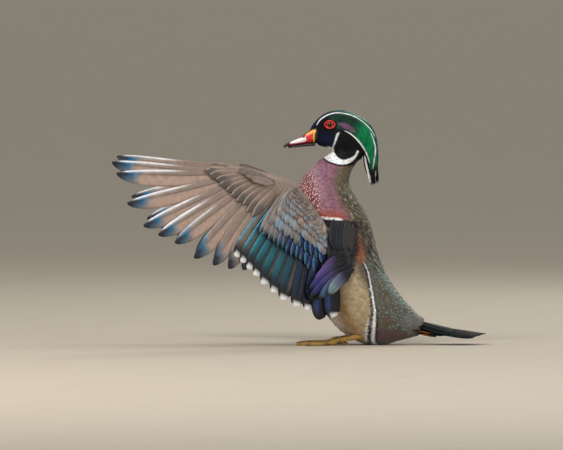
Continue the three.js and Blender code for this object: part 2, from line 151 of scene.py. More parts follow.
def line_distance(x, z, points):
    """Distance from a line of the side view, and how far along it the nearest place is."""
    best = np.full(len(x), 1e9)
    share = np.zeros(len(x))
    count = len(points) - 1
    for k in range(count):
        (ax, az), (bx, bz) = points[k], points[k + 1]
        dx, dz = bx - ax, bz - az
        t = np.clip(((x - ax) * dx + (z - az) * dz) / (dx * dx + dz * dz), 0, 1)
        d = np.hypot(x - ax - t * dx, z - az - t * dz)
        near = d < best
        best = np.where(near, d, best)
        share = np.where(near, (k + t) / count, share)
    return best, share


def inside(x, z, points, blur=0.8):
    """1 inside an outline of the side view, 0 outside it, with a soft edge."""
    odd = np.zeros(len(x), bool)
    for (ax, az), (bx, bz) in zip(points, points[1:] + points[:1]):
        crosses = (az > z) != (bz > z)
        at = ax + (z - az) * (bx - ax) / (bz - az if bz != az else 1e-9)
        odd ^= crosses & (x < at)
    d, _ = line_distance(x, z, points + points[:1])
    return soft(np.where(odd, d, -d), -blur, blur)


def make_mesh(name, points, faces, tint=None, marks=None, fringe=None, vane=None, bake=None):
    """A mesh object from millimetre points, with its colours by point and its maps by point."""
    mesh = bpy.data.meshes.new(name)
    mesh.from_pydata((np.asarray(points) * MM).tolist(), [], np.asarray(faces).tolist())
    mesh.update()
    for key, values in (("tint", tint), ("fringe", fringe), ("marks", marks)):
        if values is not None:
            layer = mesh.color_attributes.new(key, "FLOAT_COLOR", "POINT")
            rgba = np.ones((len(points), 4), np.float32)
            rgba[:, :3] = values
            layer.data.foreach_set("color", rgba.ravel())
    corners = np.empty(len(mesh.loops), int)
    mesh.loops.foreach_get("vertex_index", corners)
    for key, values in (("Vane", vane), ("OFBake", bake)):
        if values is not None:
            layer = mesh.uv_layers.new(name=key)
            layer.data.foreach_set("uv", np.asarray(values, np.float32)[corners].ravel())
    mesh.polygons.foreach_set("use_smooth", np.ones(len(mesh.polygons), bool))
    thing = bpy.data.objects.new(name, mesh)
    bpy.context.scene.collection.objects.link(thing)
    return thing


def grid_faces(rows, columns, closed=False):
    """Quads of a grid of points; closed joins the last column to the first."""
    r, c = np.meshgrid(np.arange(rows - 1), np.arange(columns if closed else columns - 1), indexing="ij")
    n = (c + 1) % columns
    here, below = r * columns, (r + 1) * columns
    return np.stack([here + c, here + n, below + n, below + c], -1).reshape(-1, 4)


class Bunch:
    """Many grids of points, gathered to make one mesh."""

    def __init__(self):
        self.parts = []
        self.count = 0

    def add(self, points, faces, tint, marks, fringe, vane, bake):
        n = len(points)
        colours = [np.broadcast_to(np.asarray(v, np.float32), (n, 3)) for v in (tint, marks, fringe)]
        self.parts.append((points, np.asarray(faces) + self.count, *colours, vane, bake))
        self.count += n

    def build(self, name):
        return make_mesh(name, *(np.concatenate(column) for column in zip(*self.parts)))


def place(thing, nodes, material):
    thing.data.materials.append(material)
    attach(thing, "root")
    if nodes:
        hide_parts(*nodes)


class Graph:
    """Short names for the nodes of one material."""

    def __init__(self, name):
        self.material = bpy.data.materials.new(name)
        self.material.use_nodes = True
        self.tree = self.material.node_tree
        self.shader = self.tree.nodes["Principled BSDF"]

    def node(self, kind, **settings):
        made = self.tree.nodes.new(kind)
        for key, value in settings.items():
            setattr(made, key, value)
        return made

    def link(self, source, target):
        if isinstance(source, (int, float)):
            target.default_value = source
        elif isinstance(source, tuple):
            colour = len(source) == 3 and len(target.default_value) == 4
            target.default_value = (*source, 1) if colour else source
        else:
            self.tree.links.new(source, target)

    def math(self, operation, *values, clamp=False):
        made = self.node("ShaderNodeMath", operation=operation, use_clamp=clamp)
        for value, socket in zip(values, made.inputs):
            self.link(value, socket)
        return made.outputs[0]

    def times(self, a, b):
        return self.math("MULTIPLY", a, b)

    def fused(self, a, b, c):
        """a times b plus c."""
        return self.math("MULTIPLY_ADD", a, b, c)

    def span(self, value, low, high, to_low=0.0, to_high=1.0):
        made = self.node("ShaderNodeMapRange", interpolation_type="SMOOTHSTEP")
        keys = ("Value", "From Min", "From Max", "To Min", "To Max")
        for number, key in zip((value, low, high, to_low, to_high), keys):
            self.link(number, made.inputs[key])
        return made.outputs[0]

    def mix(self, factor, a, b, blend="MIX"):
        made = self.node("ShaderNodeMix", data_type="RGBA", blend_type=blend)
        for value, socket in ((factor, 0), (a, 6), (b, 7)):
            self.link(value, made.inputs[socket])
        return made.outputs[2]

    def shaded(self, colour, shade):
        """colour made darker or lighter by one number."""
        grey = self.node("ShaderNodeCombineColor")
        for socket in grey.inputs[:3]:
            self.link(shade, socket)
        return self.mix(1.0, colour, grey.outputs[0], "MULTIPLY")

    def attribute(self, name):
        return self.node("ShaderNodeAttribute", attribute_name=name).outputs["Color"]

    def noise(self, scale, detail=3.0, stretch=(1, 1, 1)):
        mapping = self.node("ShaderNodeMapping")
        self.link(self.node("ShaderNodeTexCoord").outputs["Object"], mapping.inputs["Vector"])
        made = self.node("ShaderNodeTexNoise")
        self.link(mapping.outputs[0], made.inputs["Vector"])
        mapping.inputs["Scale"].default_value = stretch
        for key, value in (("Scale", scale), ("Detail", detail), ("Roughness", 0.55)):
            made.inputs[key].default_value = value
        return made.outputs[0]

    def bump(self, height, strength, distance):
        made = self.node("ShaderNodeBump")
        for key, value in (("Strength", strength), ("Distance", distance), ("Height", height)):
            self.link(value, made.inputs[key])
        self.link(made.outputs[0], self.shader.inputs["Normal"])

    def set(self, **values):
        for key, value in values.items():
            self.link(value, self.shader.inputs[key.replace("_", " ")])


def plumage(name, barbs, slant, lines, rough=0.5, sheen=0.0, shaft=0.5, shaft_width=0.07, specular=0.35):
    """Feather: tint in the vane, fringe at its edge, barbs, shaft, spots, fine dark lines, gloss."""
    g = Graph(name)
    split = g.node("ShaderNodeSeparateXYZ")
    g.link(g.node("ShaderNodeUVMap", uv_map="Vane").outputs[0], split.inputs[0])
    v = split.outputs[1]
    across = g.math("ABSOLUTE", g.fused(split.outputs[0], 2.0, -1.0))
    marks = g.node("ShaderNodeSeparateColor")
    g.link(g.attribute("marks"), marks.inputs[0])
    spot, fine, gloss = marks.outputs[:3]
    phase = g.fused(g.noise(900.0, 2.0), 5.0, g.fused(across, -slant, g.times(v, barbs)))
    streak = g.fused(g.math("SINE", phase), 0.5, 0.5)
    edge = g.math("MAXIMUM", g.span(across, 0.62, 0.95), g.span(v, 0.8, 0.97))
    edge = g.times(edge, g.span(v, 0.25, 0.55))
    edge = g.times(edge, g.math("SUBTRACT", 1.0, spot, clamp=True))
    colour = g.mix(edge, g.attribute("tint"), g.attribute("fringe"))
    colour = g.shaded(colour, g.fused(streak, 0.3, g.fused(g.noise(160.0, 4.0), 0.7, 0.48)))
    rib = g.times(g.span(across, 0.0, shaft_width, 1.0, 0.0), g.span(v, 0.5, 1.0, 1.0, 0.15))
    colour = g.mix(g.times(rib, shaft), colour, (0.01, 0.008, 0.007))
    ripple = g.fused(g.noise(420.0, 2.0), 9.0, g.fused(across, 2.5, g.times(v, lines)))
    dark = g.times(g.span(g.math("SINE", ripple), 0.0, 0.7), fine)
    colour = g.mix(g.times(dark, 0.85), colour, (0.035, 0.02, 0.012))
    drop = g.times(g.span(v, 0.72, 0.79), g.span(v, 0.9, 0.96, 1.0, 0.0))
    drop = g.times(g.span(across, 0.16, 0.36, 1.0, 0.0), drop)
    colour = g.mix(g.times(drop, spot), colour, g.attribute("fringe"))
    roughness = g.fused(gloss, -0.3, g.fused(streak, 0.12, rough - 0.06))
    g.set(Base_Color=colour, Metallic=g.times(gloss, 0.55), Roughness=roughness)
    g.set(Sheen_Weight=sheen, Sheen_Roughness=0.45, Specular_IOR_Level=specular)
    g.bump(g.fused(rib, 1.6, g.times(streak, 0.5)), 0.5, 0.0003)
    return g.material


BODY_FEATHER = plumage("body_plumage", 70.0, 9.0, 74.0, rough=0.62, sheen=0.25)
HEAD_FEATHER = plumage("head_plumage", 40.0, 6.0, 20.0, shaft=0.2, specular=0.12)
WING_FEATHER = plumage("wing_plumage", 260.0, 22.0, 60.0, sheen=0.12, shaft=0.75, shaft_width=0.06)
TAIL_FEATHER = plumage("tail_plumage", 240.0, 22.0, 60.0, shaft_width=0.05, specular=0.05)


def skin_material():
    g = Graph("skin_down")
    fine = g.noise(1400.0, 4.0)
    shade = g.fused(fine, 0.5, g.fused(g.noise(220.0, 3.0), 0.4, 0.45))
    g.set(Base_Color=g.shaded(g.attribute("tint"), shade))
    g.set(Roughness=g.fused(fine, 0.2, 0.65), Sheen_Weight=0.3)
    g.bump(fine, 0.6, 0.0004)
    return g.material


def horn_material():
    g = Graph("bill_horn")
    fine = g.noise(700.0, 4.0, stretch=(0.35, 1, 1))
    shade = g.fused(fine, 0.25, g.fused(g.noise(120.0, 3.0), 0.35, 0.7))
    g.set(Base_Color=g.shaded(g.attribute("tint"), shade), Roughness=g.fused(fine, 0.2, 0.25))
    g.set(Subsurface_Weight=0.1, Subsurface_Radius=(0.002, 0.0006, 0.0004), Coat_Weight=0.25)
    g.bump(fine, 0.25, 0.0003)
    return g.material


def eye_material():
    g = Graph("eye_gloss")
    g.set(Base_Color=g.shaded(g.attribute("tint"), g.fused(g.noise(2600.0, 3.0), 0.5, 0.72)), Roughness=0.12)
    g.set(Specular_IOR_Level=0.15, Coat_Weight=0.6, Coat_Roughness=0.03)
    return g.material


def leg_material():
    g = Graph("leg_scales")
    cells = g.node("ShaderNodeTexVoronoi", feature="DISTANCE_TO_EDGE")
    g.link(g.node("ShaderNodeTexCoord").outputs["Object"], cells.inputs["Vector"])
    cells.inputs["Scale"].default_value = 620.0
    seam = g.span(cells.outputs[0], 0.0, 0.12)
    fine = g.noise(900.0, 3.0)
    colour = g.mix(g.span(g.noise(90.0, 3.0), 0.42, 0.62), LEG_YELLOW, WEB)
    colour = g.mix(g.times(g.math("SUBTRACT", 1.0, seam), 0.6), colour, (0.06, 0.035, 0.015))
    g.set(Base_Color=colour, Roughness=g.fused(fine, 0.25, 0.4))
    g.bump(g.fused(seam, 1.0, g.times(fine, 0.2)), 0.5, 0.0004)
    return g.material


def floor_material():
    g = Graph("floor_matte")
    g.set(Base_Color=g.mix(g.noise(14.0, 4.0), (0.44, 0.38, 0.3), (0.49, 0.43, 0.345)), Roughness=0.85)
    return g.material


HORN = horn_material()
EYE_GLOSS = eye_material()
LEG_SKIN = leg_material()

# Markings in the side view, as X and Z.
BROW = [
    (-70.9, 268.4), (-67.2, 274.3), (-60.9, 278.9), (-54.5, 281.6), (-46.1, 283.2), (-36.7, 282.1),
    (-27.2, 279.5), (-17.8, 274.3), (-9.4, 267.4), (-3.1, 260.0), (-0.5, 254.7),
]
BROW_TAIL = [(-5.2, 259.0), (-2.1, 250.6), (0.6, 240.1), (-0.5, 227.5), (-3.0, 214.0)]
LOWER_LINE = [
    (-36.7, 261.1), (-30.4, 257.9), (-23.1, 251.7), (-16.7, 244.2), (-11.5, 235.8), (-8.4, 228.5),
    (-6.2, 221.7),
]
LOWER_LOCK = [(-12.6, 229.6), (-10.5, 219.1), (-8.4, 209.6), (-6.2, 199.1)]
VIOLET_LINE = [(-44, 270), (-38, 268), (-32, 265), (-25, 260.5)]
THROAT = [
    (-44.0, 259.5), (-47.2, 256.9), (-49.9, 247.4), (-52.5, 241.1), (-55.6, 235.8), (-64.0, 231.0),
    (-61.0, 227.5), (-54.5, 223.7), (-44.0, 220.7), (-35.6, 220.7), (-28.3, 223.7), (-23.1, 229.0),
    (-19.9, 235.8), (-22.0, 236.9), (-24.6, 231.7), (-30.4, 228.0), (-38.8, 225.9), (-45.1, 228.5),
    (-49.9, 234.9), (-50.9, 240.1), (-48.3, 246.4), (-45.6, 253.8), (-43.6, 258.5),
]
GREEN_SIDE = [
    (-58, 279), (-46, 283), (-30, 281), (-15, 273), (-6, 263), (2, 250), (4, 225), (2, 190), (-9, 190),
    (-7, 221), (-11.5, 235.8), (-16.7, 244.2), (-23.1, 251.7), (-30.4, 257.9), (-38, 261.5), (-47, 264),
]
COLLAR_EDGE = [
    (-66.0, 230.0), (-61.5, 225.5), (-54.5, 221.5), (-44.0, 218.4), (-35.6, 218.4), (-26.0, 220.0),
    (-14.0, 222.0),
]
BACK_LINE = [
    (-18.3, 217.2), (-31.0, 203.7), (-30.5, 192.8), (-22.0, 174.5), (-8.5, 155.3), (5, 102),
    (27, 66), (64, 30),
]
SIDE_BAR = [(-66, 155), (-50, 152.5), (-36, 152.5), (-20, 150), (-4, 146)]
CRESCENT = [(-14.6, 103), (-8.5, 88), (-5.0, 68), (-1.2, 42.7), (-3.7, 12)]
SLATE_SIDE = [(-65, 152), (-22, 150), (-20, 120), (-26, 92), (-44, 90), (-60, 112)]
RUST_SIDE = [(-28, 138), (-21, 138), (-13, 118), (-11, 102), (-20, 100), (-27, 112)]
UMBER_SIDE = [(-34, 152), (-4, 150), (6, 126), (4, 106), (-10, 104), (-24, 130)]
MAGENTA_SIDE = [(4, 18), (18, 20), (34, 16), (44, 8), (2, 4)]
GREY_SIDE = [(30, 30), (44, 38), (58, 31), (60, 18), (42, 15)]

BROW, BROW_TAIL, LOWER_LINE, LOWER_LOCK = (
    curve_at(line, np.linspace(0, 1, 22)) for line in (BROW, BROW_TAIL, LOWER_LINE, LOWER_LOCK)
)
THROAT = curve_at(THROAT + THROAT[:1], np.linspace(0, 1, 80)).tolist()[:-1]


def white_lines(x, y, z):
    """The white lines and the white throat of the head."""
    d, s = line_distance(x, z, BROW)
    thick = np.interp(s, [0, 0.12, 0.4, 1], [0.1, 0.5, 0.3, 0.1])
    white = 1 - soft(d, thick, thick + 0.6)
    for line, core, edge in ((BROW_TAIL, 0.35, 0.6), (LOWER_LINE, 0.45, 0.75)):
        d, s = line_distance(x, z, line)
        swell = np.sin(np.pi * s)
        white = np.maximum(white, 1 - soft(d, core * swell, 0.5 + edge * swell))
    d, s = line_distance(x, z, LOWER_LOCK)
    white = np.maximum(white, 1 - soft(d, 0.5 + 0.6 * s, 1.1 + 0.7 * s))
    under = soft(7.5 - np.abs(y), -1, 2) * soft(z, 222, 228) * (1 - soft(z, 242, 246))
    under = under * (1 - soft(x, -44, -38)) * soft(x, -60, -56)
    return np.maximum(white, np.maximum(inside(x, z, THROAT, 0.7), under))


def head_colours(x, y, z):
    """Colour and gloss of the head, crest and upper throat."""
    n = len(x)
    cheek = np.exp(-(((x + 60) / 12) ** 2 + ((z - 250) / 9) ** 2))
    colour = paint(rows_of(n, BLACK), NAVY, cheek * 0.8)
    green = inside(x, z, GREEN_SIDE, 1.2)
    side = paint(rows_of(n, DARK_GREEN), EMERALD, soft(x - 0.35 * (z - 250), -36, -13))
    d, s = line_distance(x, z, VIOLET_LINE)
    violet = 1 - soft(d, 0.8, 1.8 + 3.6 * np.sin(np.pi * s))
    streaks = 0.5 + 0.5 * np.sin(4.2 * (0.47 * x + 0.885 * z) + 0.6 * np.sin(0.9 * x))
    side = paint(side, VIOLET, violet * (0.15 + 0.75 * streaks))
    side = paint(side, BLACK, 1 - soft(z, 208, 232))
    colour = paint(colour, side, green)
    brow_z = np.interp(x, BROW[:, 0], BROW[:, 1], left=262, right=250)
    crown = soft(z - brow_z, 0.0, 1.0) * soft(x, -92, -80) * (x < 1)
    crown = np.maximum(crown, soft(x, -2.5, -0.5) * soft(z, 225, 235))
    top = paint(rows_of(n, NAVY), TEAL, soft(x, -62, -40))
    top = paint(top, EMERALD, soft(x, -40, -24) * (1 - soft(x, -14, -4)) * 0.8)
    colour = paint(colour, top, crown)
    white = white_lines(x, y, z)
    gloss = np.maximum(0.1, green * 0.75 * soft(z, 205, 235))
    gloss = np.maximum(gloss, crown * 0.6) * (1 - white)
    return paint(colour, WHITE, white), gloss


def body_colours(x, y, z):
    """Colour, marks and fringe of the torso and neck: spots, fine lines and gloss are the marks."""
    n = len(x)
    d_back, _ = line_distance(x, z, BACK_LINE)
    # Neck and breast.
    breast = paint(rows_of(n, CHESTNUT), MAUVE, soft(x + 0.25 * (z - 190), -84, -62))
    breast = paint(breast, OLIVE, 1 - soft(d_back, 10, 26))
    breast = paint(breast, RED_BROWN, (1 - soft(z, 156, 172)) * soft(d_back, 14, 30))
    breast = paint(breast, BLACK, (1 - soft(d_back, 2, 9)) * 0.5)
    spots = (1 - soft(x + 0.2 * (z - 190), -76, -58)) * soft(z, 160, 170)
    # Flank and belly.
    across = x + (z - 50) * 0.3
    stripes = np.sin(2.4 * across + 0.8 * np.sin(0.21 * z) + 1.2 * np.sin(0.07 * z + across))
    gold = (1 - soft(across, -40, -27)) * (0.25 + 0.65 * (0.5 + 0.5 * stripes))
    pale = 1 - soft(x + (z - 40) * 0.55, -58, -38)
    lower = paint(paint(rows_of(n, BUFF), GOLD, gold), BELLY, pale)
    # Hind back.
    flank_end = np.interp(z, [10, 42, 73, 101, 150], [-2, 1, -4, -12, -22])
    back = np.maximum(1 - soft(d_back, 24, 36), soft(x - flank_end, -1.5, 1.5))
    lower = paint(lower, BRONZE, back)
    # The white and black bars at the flank's end; q is the place across them.
    wide = 0.55 + 0.35 * (1 - soft(z, 40, 100)) + 0.75 * (1 - soft(z, 18, 48))
    q = (x - np.interp(z, [12, 42.7, 68, 88, 103], [-3.7, -1.2, -5, -8.5, -14.6])) / wide
    ends = (1 - soft(z, 99, 106)) * (1 - soft(np.abs(y), 46, 52))
    lower = paint(lower, BLACK, (1 - soft(np.abs(q), 3.4, 4.2)) * ends)
    lower = paint(lower, WHITE, (1 - soft(np.abs(q - 0.8), 1.0, 1.5)) * ends)
    lower = paint(lower, WHITE, (1 - soft(np.abs(q + 4.4), 0.5, 0.9)) * ends * (1 - soft(z, 20, 36)))
    # Patches.
    slate, rust, umber, magenta = (
        inside(x, z, side, 4) for side in (SLATE_SIDE, RUST_SIDE, UMBER_SIDE, MAGENTA_SIDE)
    )
    grey = inside(x, z, GREY_SIDE, 3)
    lower = paint(lower, UMBER, umber * 0.8)
    lower = paint(lower, RUST, rust * 0.9)
    lower = paint(lower, SLATE, slate)
    lower = paint(lower, MAGENTA, magenta * (0.3 + 0.5 * np.sin(0.7 * x + z * 3.7)))
    lower = paint(lower, GREY, grey * (np.abs(y) > 8))
    lines = (1 - pale) * (1 - back) * (1 - (1 - soft(np.abs(q), 4.5, 6.0)) * ends)
    lines = np.maximum(np.maximum(lines, 2.4 * grey), 0.8 * magenta)
    # Join of breast and lower body at the white and black bars.
    bar_z = np.interp(x, [-95, -66, -36, -20, -4], [140, 156, 153.5, 150.5, 146])
    upper = soft(z - bar_z, 0.0, 1.5)
    colour = paint(lower, breast, upper)
    colour = paint(colour, BLACK, (1 - soft(np.abs(z - bar_z + 4.5), 2.4, 4.0)) * soft(d_back, 8, 16))
    colour = paint(colour, WHITE, (1 - soft(np.abs(z - bar_z), 1.0, 1.7)) * soft(d_back, 24, 30))
    fleck = back * (1 - upper) * (1 - grey) * (1 - magenta) * (1 - soft(z, 108, 124)) * soft(q, 3, 6)
    fleck = fleck * soft(np.sin(x * 1.7 + z * 2.3 + y * 1.3), -0.8, -0.4)
    blotch = np.sin(0.9 * x + 1.7 * np.sin(0.35 * z)) * np.sin(0.8 * z + 1.3 * np.sin(0.45 * x))
    ridge = (1 - soft(d_back, 3, 13)) * soft(z, 34, 50) * (1 - soft(z, 96, 112))
    colour = paint(colour, TURQUOISE, fleck * (0.16 * soft(blotch, 0.1, 0.5) + 0.3 * ridge))
    fringe = paint(colour, SPOT_WHITE, spots * upper)
    fringe = paint(fringe, TURQUOISE, fleck)
    fine = lines * (1 - upper) * (1 - slate) * (1 - rust) * 0.45
    gloss = np.clip(slate * 0.5 + back * (1 - upper) * 0.5 + upper * 0.15, 0, 1)
    return colour, np.stack([spots * upper + fleck, fine, gloss], -1), fringe


def bare_face(x, z):
    """Places on the head that belong to the bill's base."""
    edge = np.interp(z, [240, 248, 258, 268.4], [-74.2, -74.4, -73.0, -70.8])
    return (x < edge) & (z < 257.5 + (x + 83) * 0.6) & (z > 246)


def coat_colours(points):
    """Colour, marks and fringe anywhere on head, neck and torso."""
    x, y, z = points.T
    body, marks, fringe = body_colours(x, y, z)
    head, gloss = head_colours(x, y, z)
    head[bare_face(x, z)] = BILL_YELLOW
    edge_z = np.interp(x, *zip(*COLLAR_EDGE), left=236, right=222)
    above = soft(z - edge_z, -1.0, 0.2)
    nape = soft(x + (z - 215) * 0.3, -24, -16) * soft(z, 200, 210)
    body = paint(body, BLACK, nape * 0.8)
    return paint(body, head, above), paint(marks, gloss_mark(gloss), above), paint(fringe, head, above)


# The skin: one closed surface under the feathers of torso, neck and head.
SKIN_VOXEL = 1.6
AXIS = [
    (-80, 255), (-60, 264), (-42, 264), (-28, 254), (-27, 240), (-38, 226), (-50, 210),
    (-58, 192), (-54, 162), (-42, 128), (-20, 88), (10, 52), (45, 28), (66, 20),
]
AXIS_POINTS = curve_at(AXIS, np.linspace(0, 1, 160))
AXIS_ALONG = unit(np.gradient(AXIS_POINTS, axis=0))


def ruff(points):
    """Share of long loose feathers, down the nape and the back."""
    x, y, z = points.T
    d, _ = line_distance(x, z, BACK_LINE)
    return (1 - soft(d, 7, 20)) * soft(z, 92, 112) * (1 - soft(z, 192, 206))


def coat_depth(points):
    """How far the skin lies inside the feathers' outer surface."""
    return lerp(1.6, 1.1, soft(points[:, 2], 190, 235)) + 0.8 * ruff(points)


def axis_distance(points):
    """Square of the distance from each point to each place of the body's axis, in the side view."""
    x, z = points[:, None, 0], points[:, None, 2]
    return (x - AXIS_POINTS[None, :, 0]) ** 2 + (z - AXIS_POINTS[None, :, 1]) ** 2


def flow(points, normals):
    """Lie of the feathers: along the body's axis, in the surface."""
    d2 = axis_distance(points)
    reach = lerp(16.0, 8.0, soft(points[:, 2], 200, 230))
    w = np.exp(-(d2 - d2.min(1, keepdims=True)) / (2 * reach[:, None] ** 2))
    along = w @ AXIS_ALONG
    f = np.stack([along[:, 0], np.zeros(len(points)), along[:, 1]], -1)
    f -= (f * normals).sum(-1, keepdims=True) * normals
    return unit(f)


def body_coordinates(points):
    """An unwrap of the skin's own shape: angle about the axis and place along it, each 0 to 1."""
    k = axis_distance(points).argmin(1)
    normal = np.stack([-AXIS_ALONG[k, 1], AXIS_ALONG[k, 0]], -1)
    out = ((points[:, ::2] - AXIS_POINTS[k]) * normal).sum(-1)
    angle = np.arctan2(points[:, 1], out) / (2 * math.pi) + 0.5
    return np.stack([0.01 + 0.98 * angle, 0.01 + 0.98 * k / (len(AXIS_POINTS) - 1)], -1)


def welded(name):
    """Points and triangles of one solid, with each shared point once."""
    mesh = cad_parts[name].data
    co = np.array([v.co[:] for v in mesh.vertices]) / MM
    merged = {}
    index = [merged.setdefault(tuple(np.round(p, 3)), len(merged)) for p in co]
    tris = [[index[v] for v in p.vertices] for p in mesh.polygons]
    return np.array(list(merged)), np.array([t for t in tris if len(set(t)) == 3])


def evened(thing, voxel, rounds):
    """The thing's mesh, made of even small faces and smoothed."""
    remesh = thing.modifiers.new("even", "REMESH")
    remesh.mode = "VOXEL"
    remesh.voxel_size = voxel * MM
    smooth = thing.modifiers.new("smooth", "SMOOTH")
    smooth.factor = 0.5
    smooth.iterations = rounds
    evaluated = thing.evaluated_get(bpy.context.evaluated_depsgraph_get())
    return bpy.data.meshes.new_from_object(evaluated)


def build_skin():
    """Points, normals and quads of the skin, without the seams between the solids."""
    points, faces, count = [], [], 0
    for name in ("torso", "neck", "head"):
        co, tris = welded(name)
        normal = np.cross(co[tris[:, 1]] - co[tris[:, 0]], co[tris[:, 2]] - co[tris[:, 0]])
        out = np.zeros_like(co)
        for c in range(3):
            np.add.at(out, tris[:, c], normal)
        points.append(co + unit(out) * 0.3)
        faces.append(tris + count)
        count += len(co)
    rough = make_mesh("rough_skin", np.concatenate(points), np.concatenate(faces))
    mesh = evened(rough, SKIN_VOXEL, 5)
    co = np.array([v.co[:] for v in mesh.vertices]) / MM
    no = np.array([v.normal[:] for v in mesh.vertices])
    quads = [list(p.vertices) for p in mesh.polygons]
    bpy.data.objects.remove(rough)
    bpy.data.meshes.remove(mesh)
    return co - no * (coat_depth(co) + 0.3)[:, None], no, quads


SKIN_POINTS, SKIN_NORMALS, SKIN_FACES = build_skin()
skin_tree = BVHTree.FromPolygons(SKIN_POINTS.tolist(), SKIN_FACES)


def place_skin():
    tint, marks, fringe = coat_colours(SKIN_POINTS)
    uv = body_coordinates(SKIN_POINTS)
    # Away from the bare face, the skin takes the coat's tint and fringe at 0.55: painted shade under the
    # feathers.
    tint = np.where(bare_face(SKIN_POINTS[:, 0], SKIN_POINTS[:, 2])[:, None], tint, tint * 0.55)
    skin = make_mesh("skin", SKIN_POINTS, SKIN_FACES, tint, marks * (0, 0, 1), fringe * 0.55, uv * 60 % 1, uv)
    place(skin, ["torso", "neck", "head"], skin_material())


place_skin()

# The small contour feathers.
VANE_T = np.array([0, 0.22, 0.45, 0.66, 0.82, 0.93, 1.0])
VANE_S = np.array([-1, -0.5, 0, 0.5, 1.0])
NEIGHBOURS = list(itertools.product((-1, 0, 1), repeat=3))
FEATHERS_A_PIECE = 4000
HEAD_FROM_Z = 222
EYE_X, EYE_Z, EYE_GAP = -54.6, 268.6, 5.8


def outline(t, tip_from=0.55, root=0.35, point=2.2):
    """Half width of a feather along its length, as a share of the widest."""
    opening = root + (1 - root) * soft(t, 0, 0.35)
    closing = (1 - np.clip((t - tip_from) / (1 - tip_from), 0, 1) ** point) ** 0.6
    return opening * closing


def feather_size(points):
    """Length and width of the body's feathers at each place."""
    x, y, z = points.T
    length = np.interp(z, [0, 30, 90, 140, 160, 185, 205, 225, 250], [14, 17, 19, 17, 11, 9.5, 8, 6.0, 5.2])
    length = length * (1 - 0.45 * soft(-x, 50, 66) * soft(z, 236, 246))
    bar, stripe, spine = (line_distance(x, z, line)[0] for line in (SIDE_BAR, CRESCENT, BACK_LINE))
    fine = np.maximum(np.exp(-((bar / 8) ** 2)), np.exp(-((stripe / 8) ** 2)))
    flank = (1 - soft(spine, 26, 34)) * (1 - soft(z, 140, 170))
    length = length * (1 - 0.55 * fine) * (1 - 0.4 * (1 - fine) * flank)
    loose = ruff(points)
    width = length * np.interp(z, [0, 150, 200, 230], [0.62, 0.68, 0.55, 0.36]) * (1 - 0.45 * loose)
    return length * (1 + 0.35 * loose), width


def crowded(p, gap, key, cells):
    """Whether a kept place lies nearer than the gap."""
    for a, b, c in NEIGHBOURS:
        for q in cells.get((key[0] + a, key[1] + b, key[2] + c), ()):
            if (p[0] - q[0]) ** 2 + (p[1] - q[1]) ** 2 + (p[2] - q[2]) ** 2 < gap * gap:
                return True
    return False


def scatter(spacing, most):
    """Places spread evenly over the skin, with a gap between them set by spacing."""
    quads = np.array([f for f in SKIN_FACES if len(f) == 4])
    tris = quads[:, [0, 1, 2, 0, 2, 3]].reshape(-1, 3)
    a, b, c = (SKIN_POINTS[tris[:, k]] for k in range(3))
    area = np.linalg.norm(np.cross(b - a, c - a), axis=1)
    weight = area / spacing((a + b + c) / 3) ** 2
    pick = rng.choice(len(tris), most, p=weight / weight.sum())
    r1, r2 = np.sqrt(rng.random(most))[:, None], rng.random(most)[:, None]
    places = a[pick] * (1 - r1) + b[pick] * (r1 * (1 - r2)) + c[pick] * (r1 * r2)
    normals = unit(SKIN_NORMALS[tris[pick]].sum(1))
    gaps = spacing(places)
    cell = gaps.max()
    kept, cells = [], {}
    for i, (p, gap) in enumerate(zip(places.tolist(), gaps.tolist())):
        key = tuple(int(v // cell) for v in p)
        if not crowded(p, gap, key, cells):
            kept.append(i)
            cells.setdefault(key, []).append(p)
    return places[kept], normals[kept]


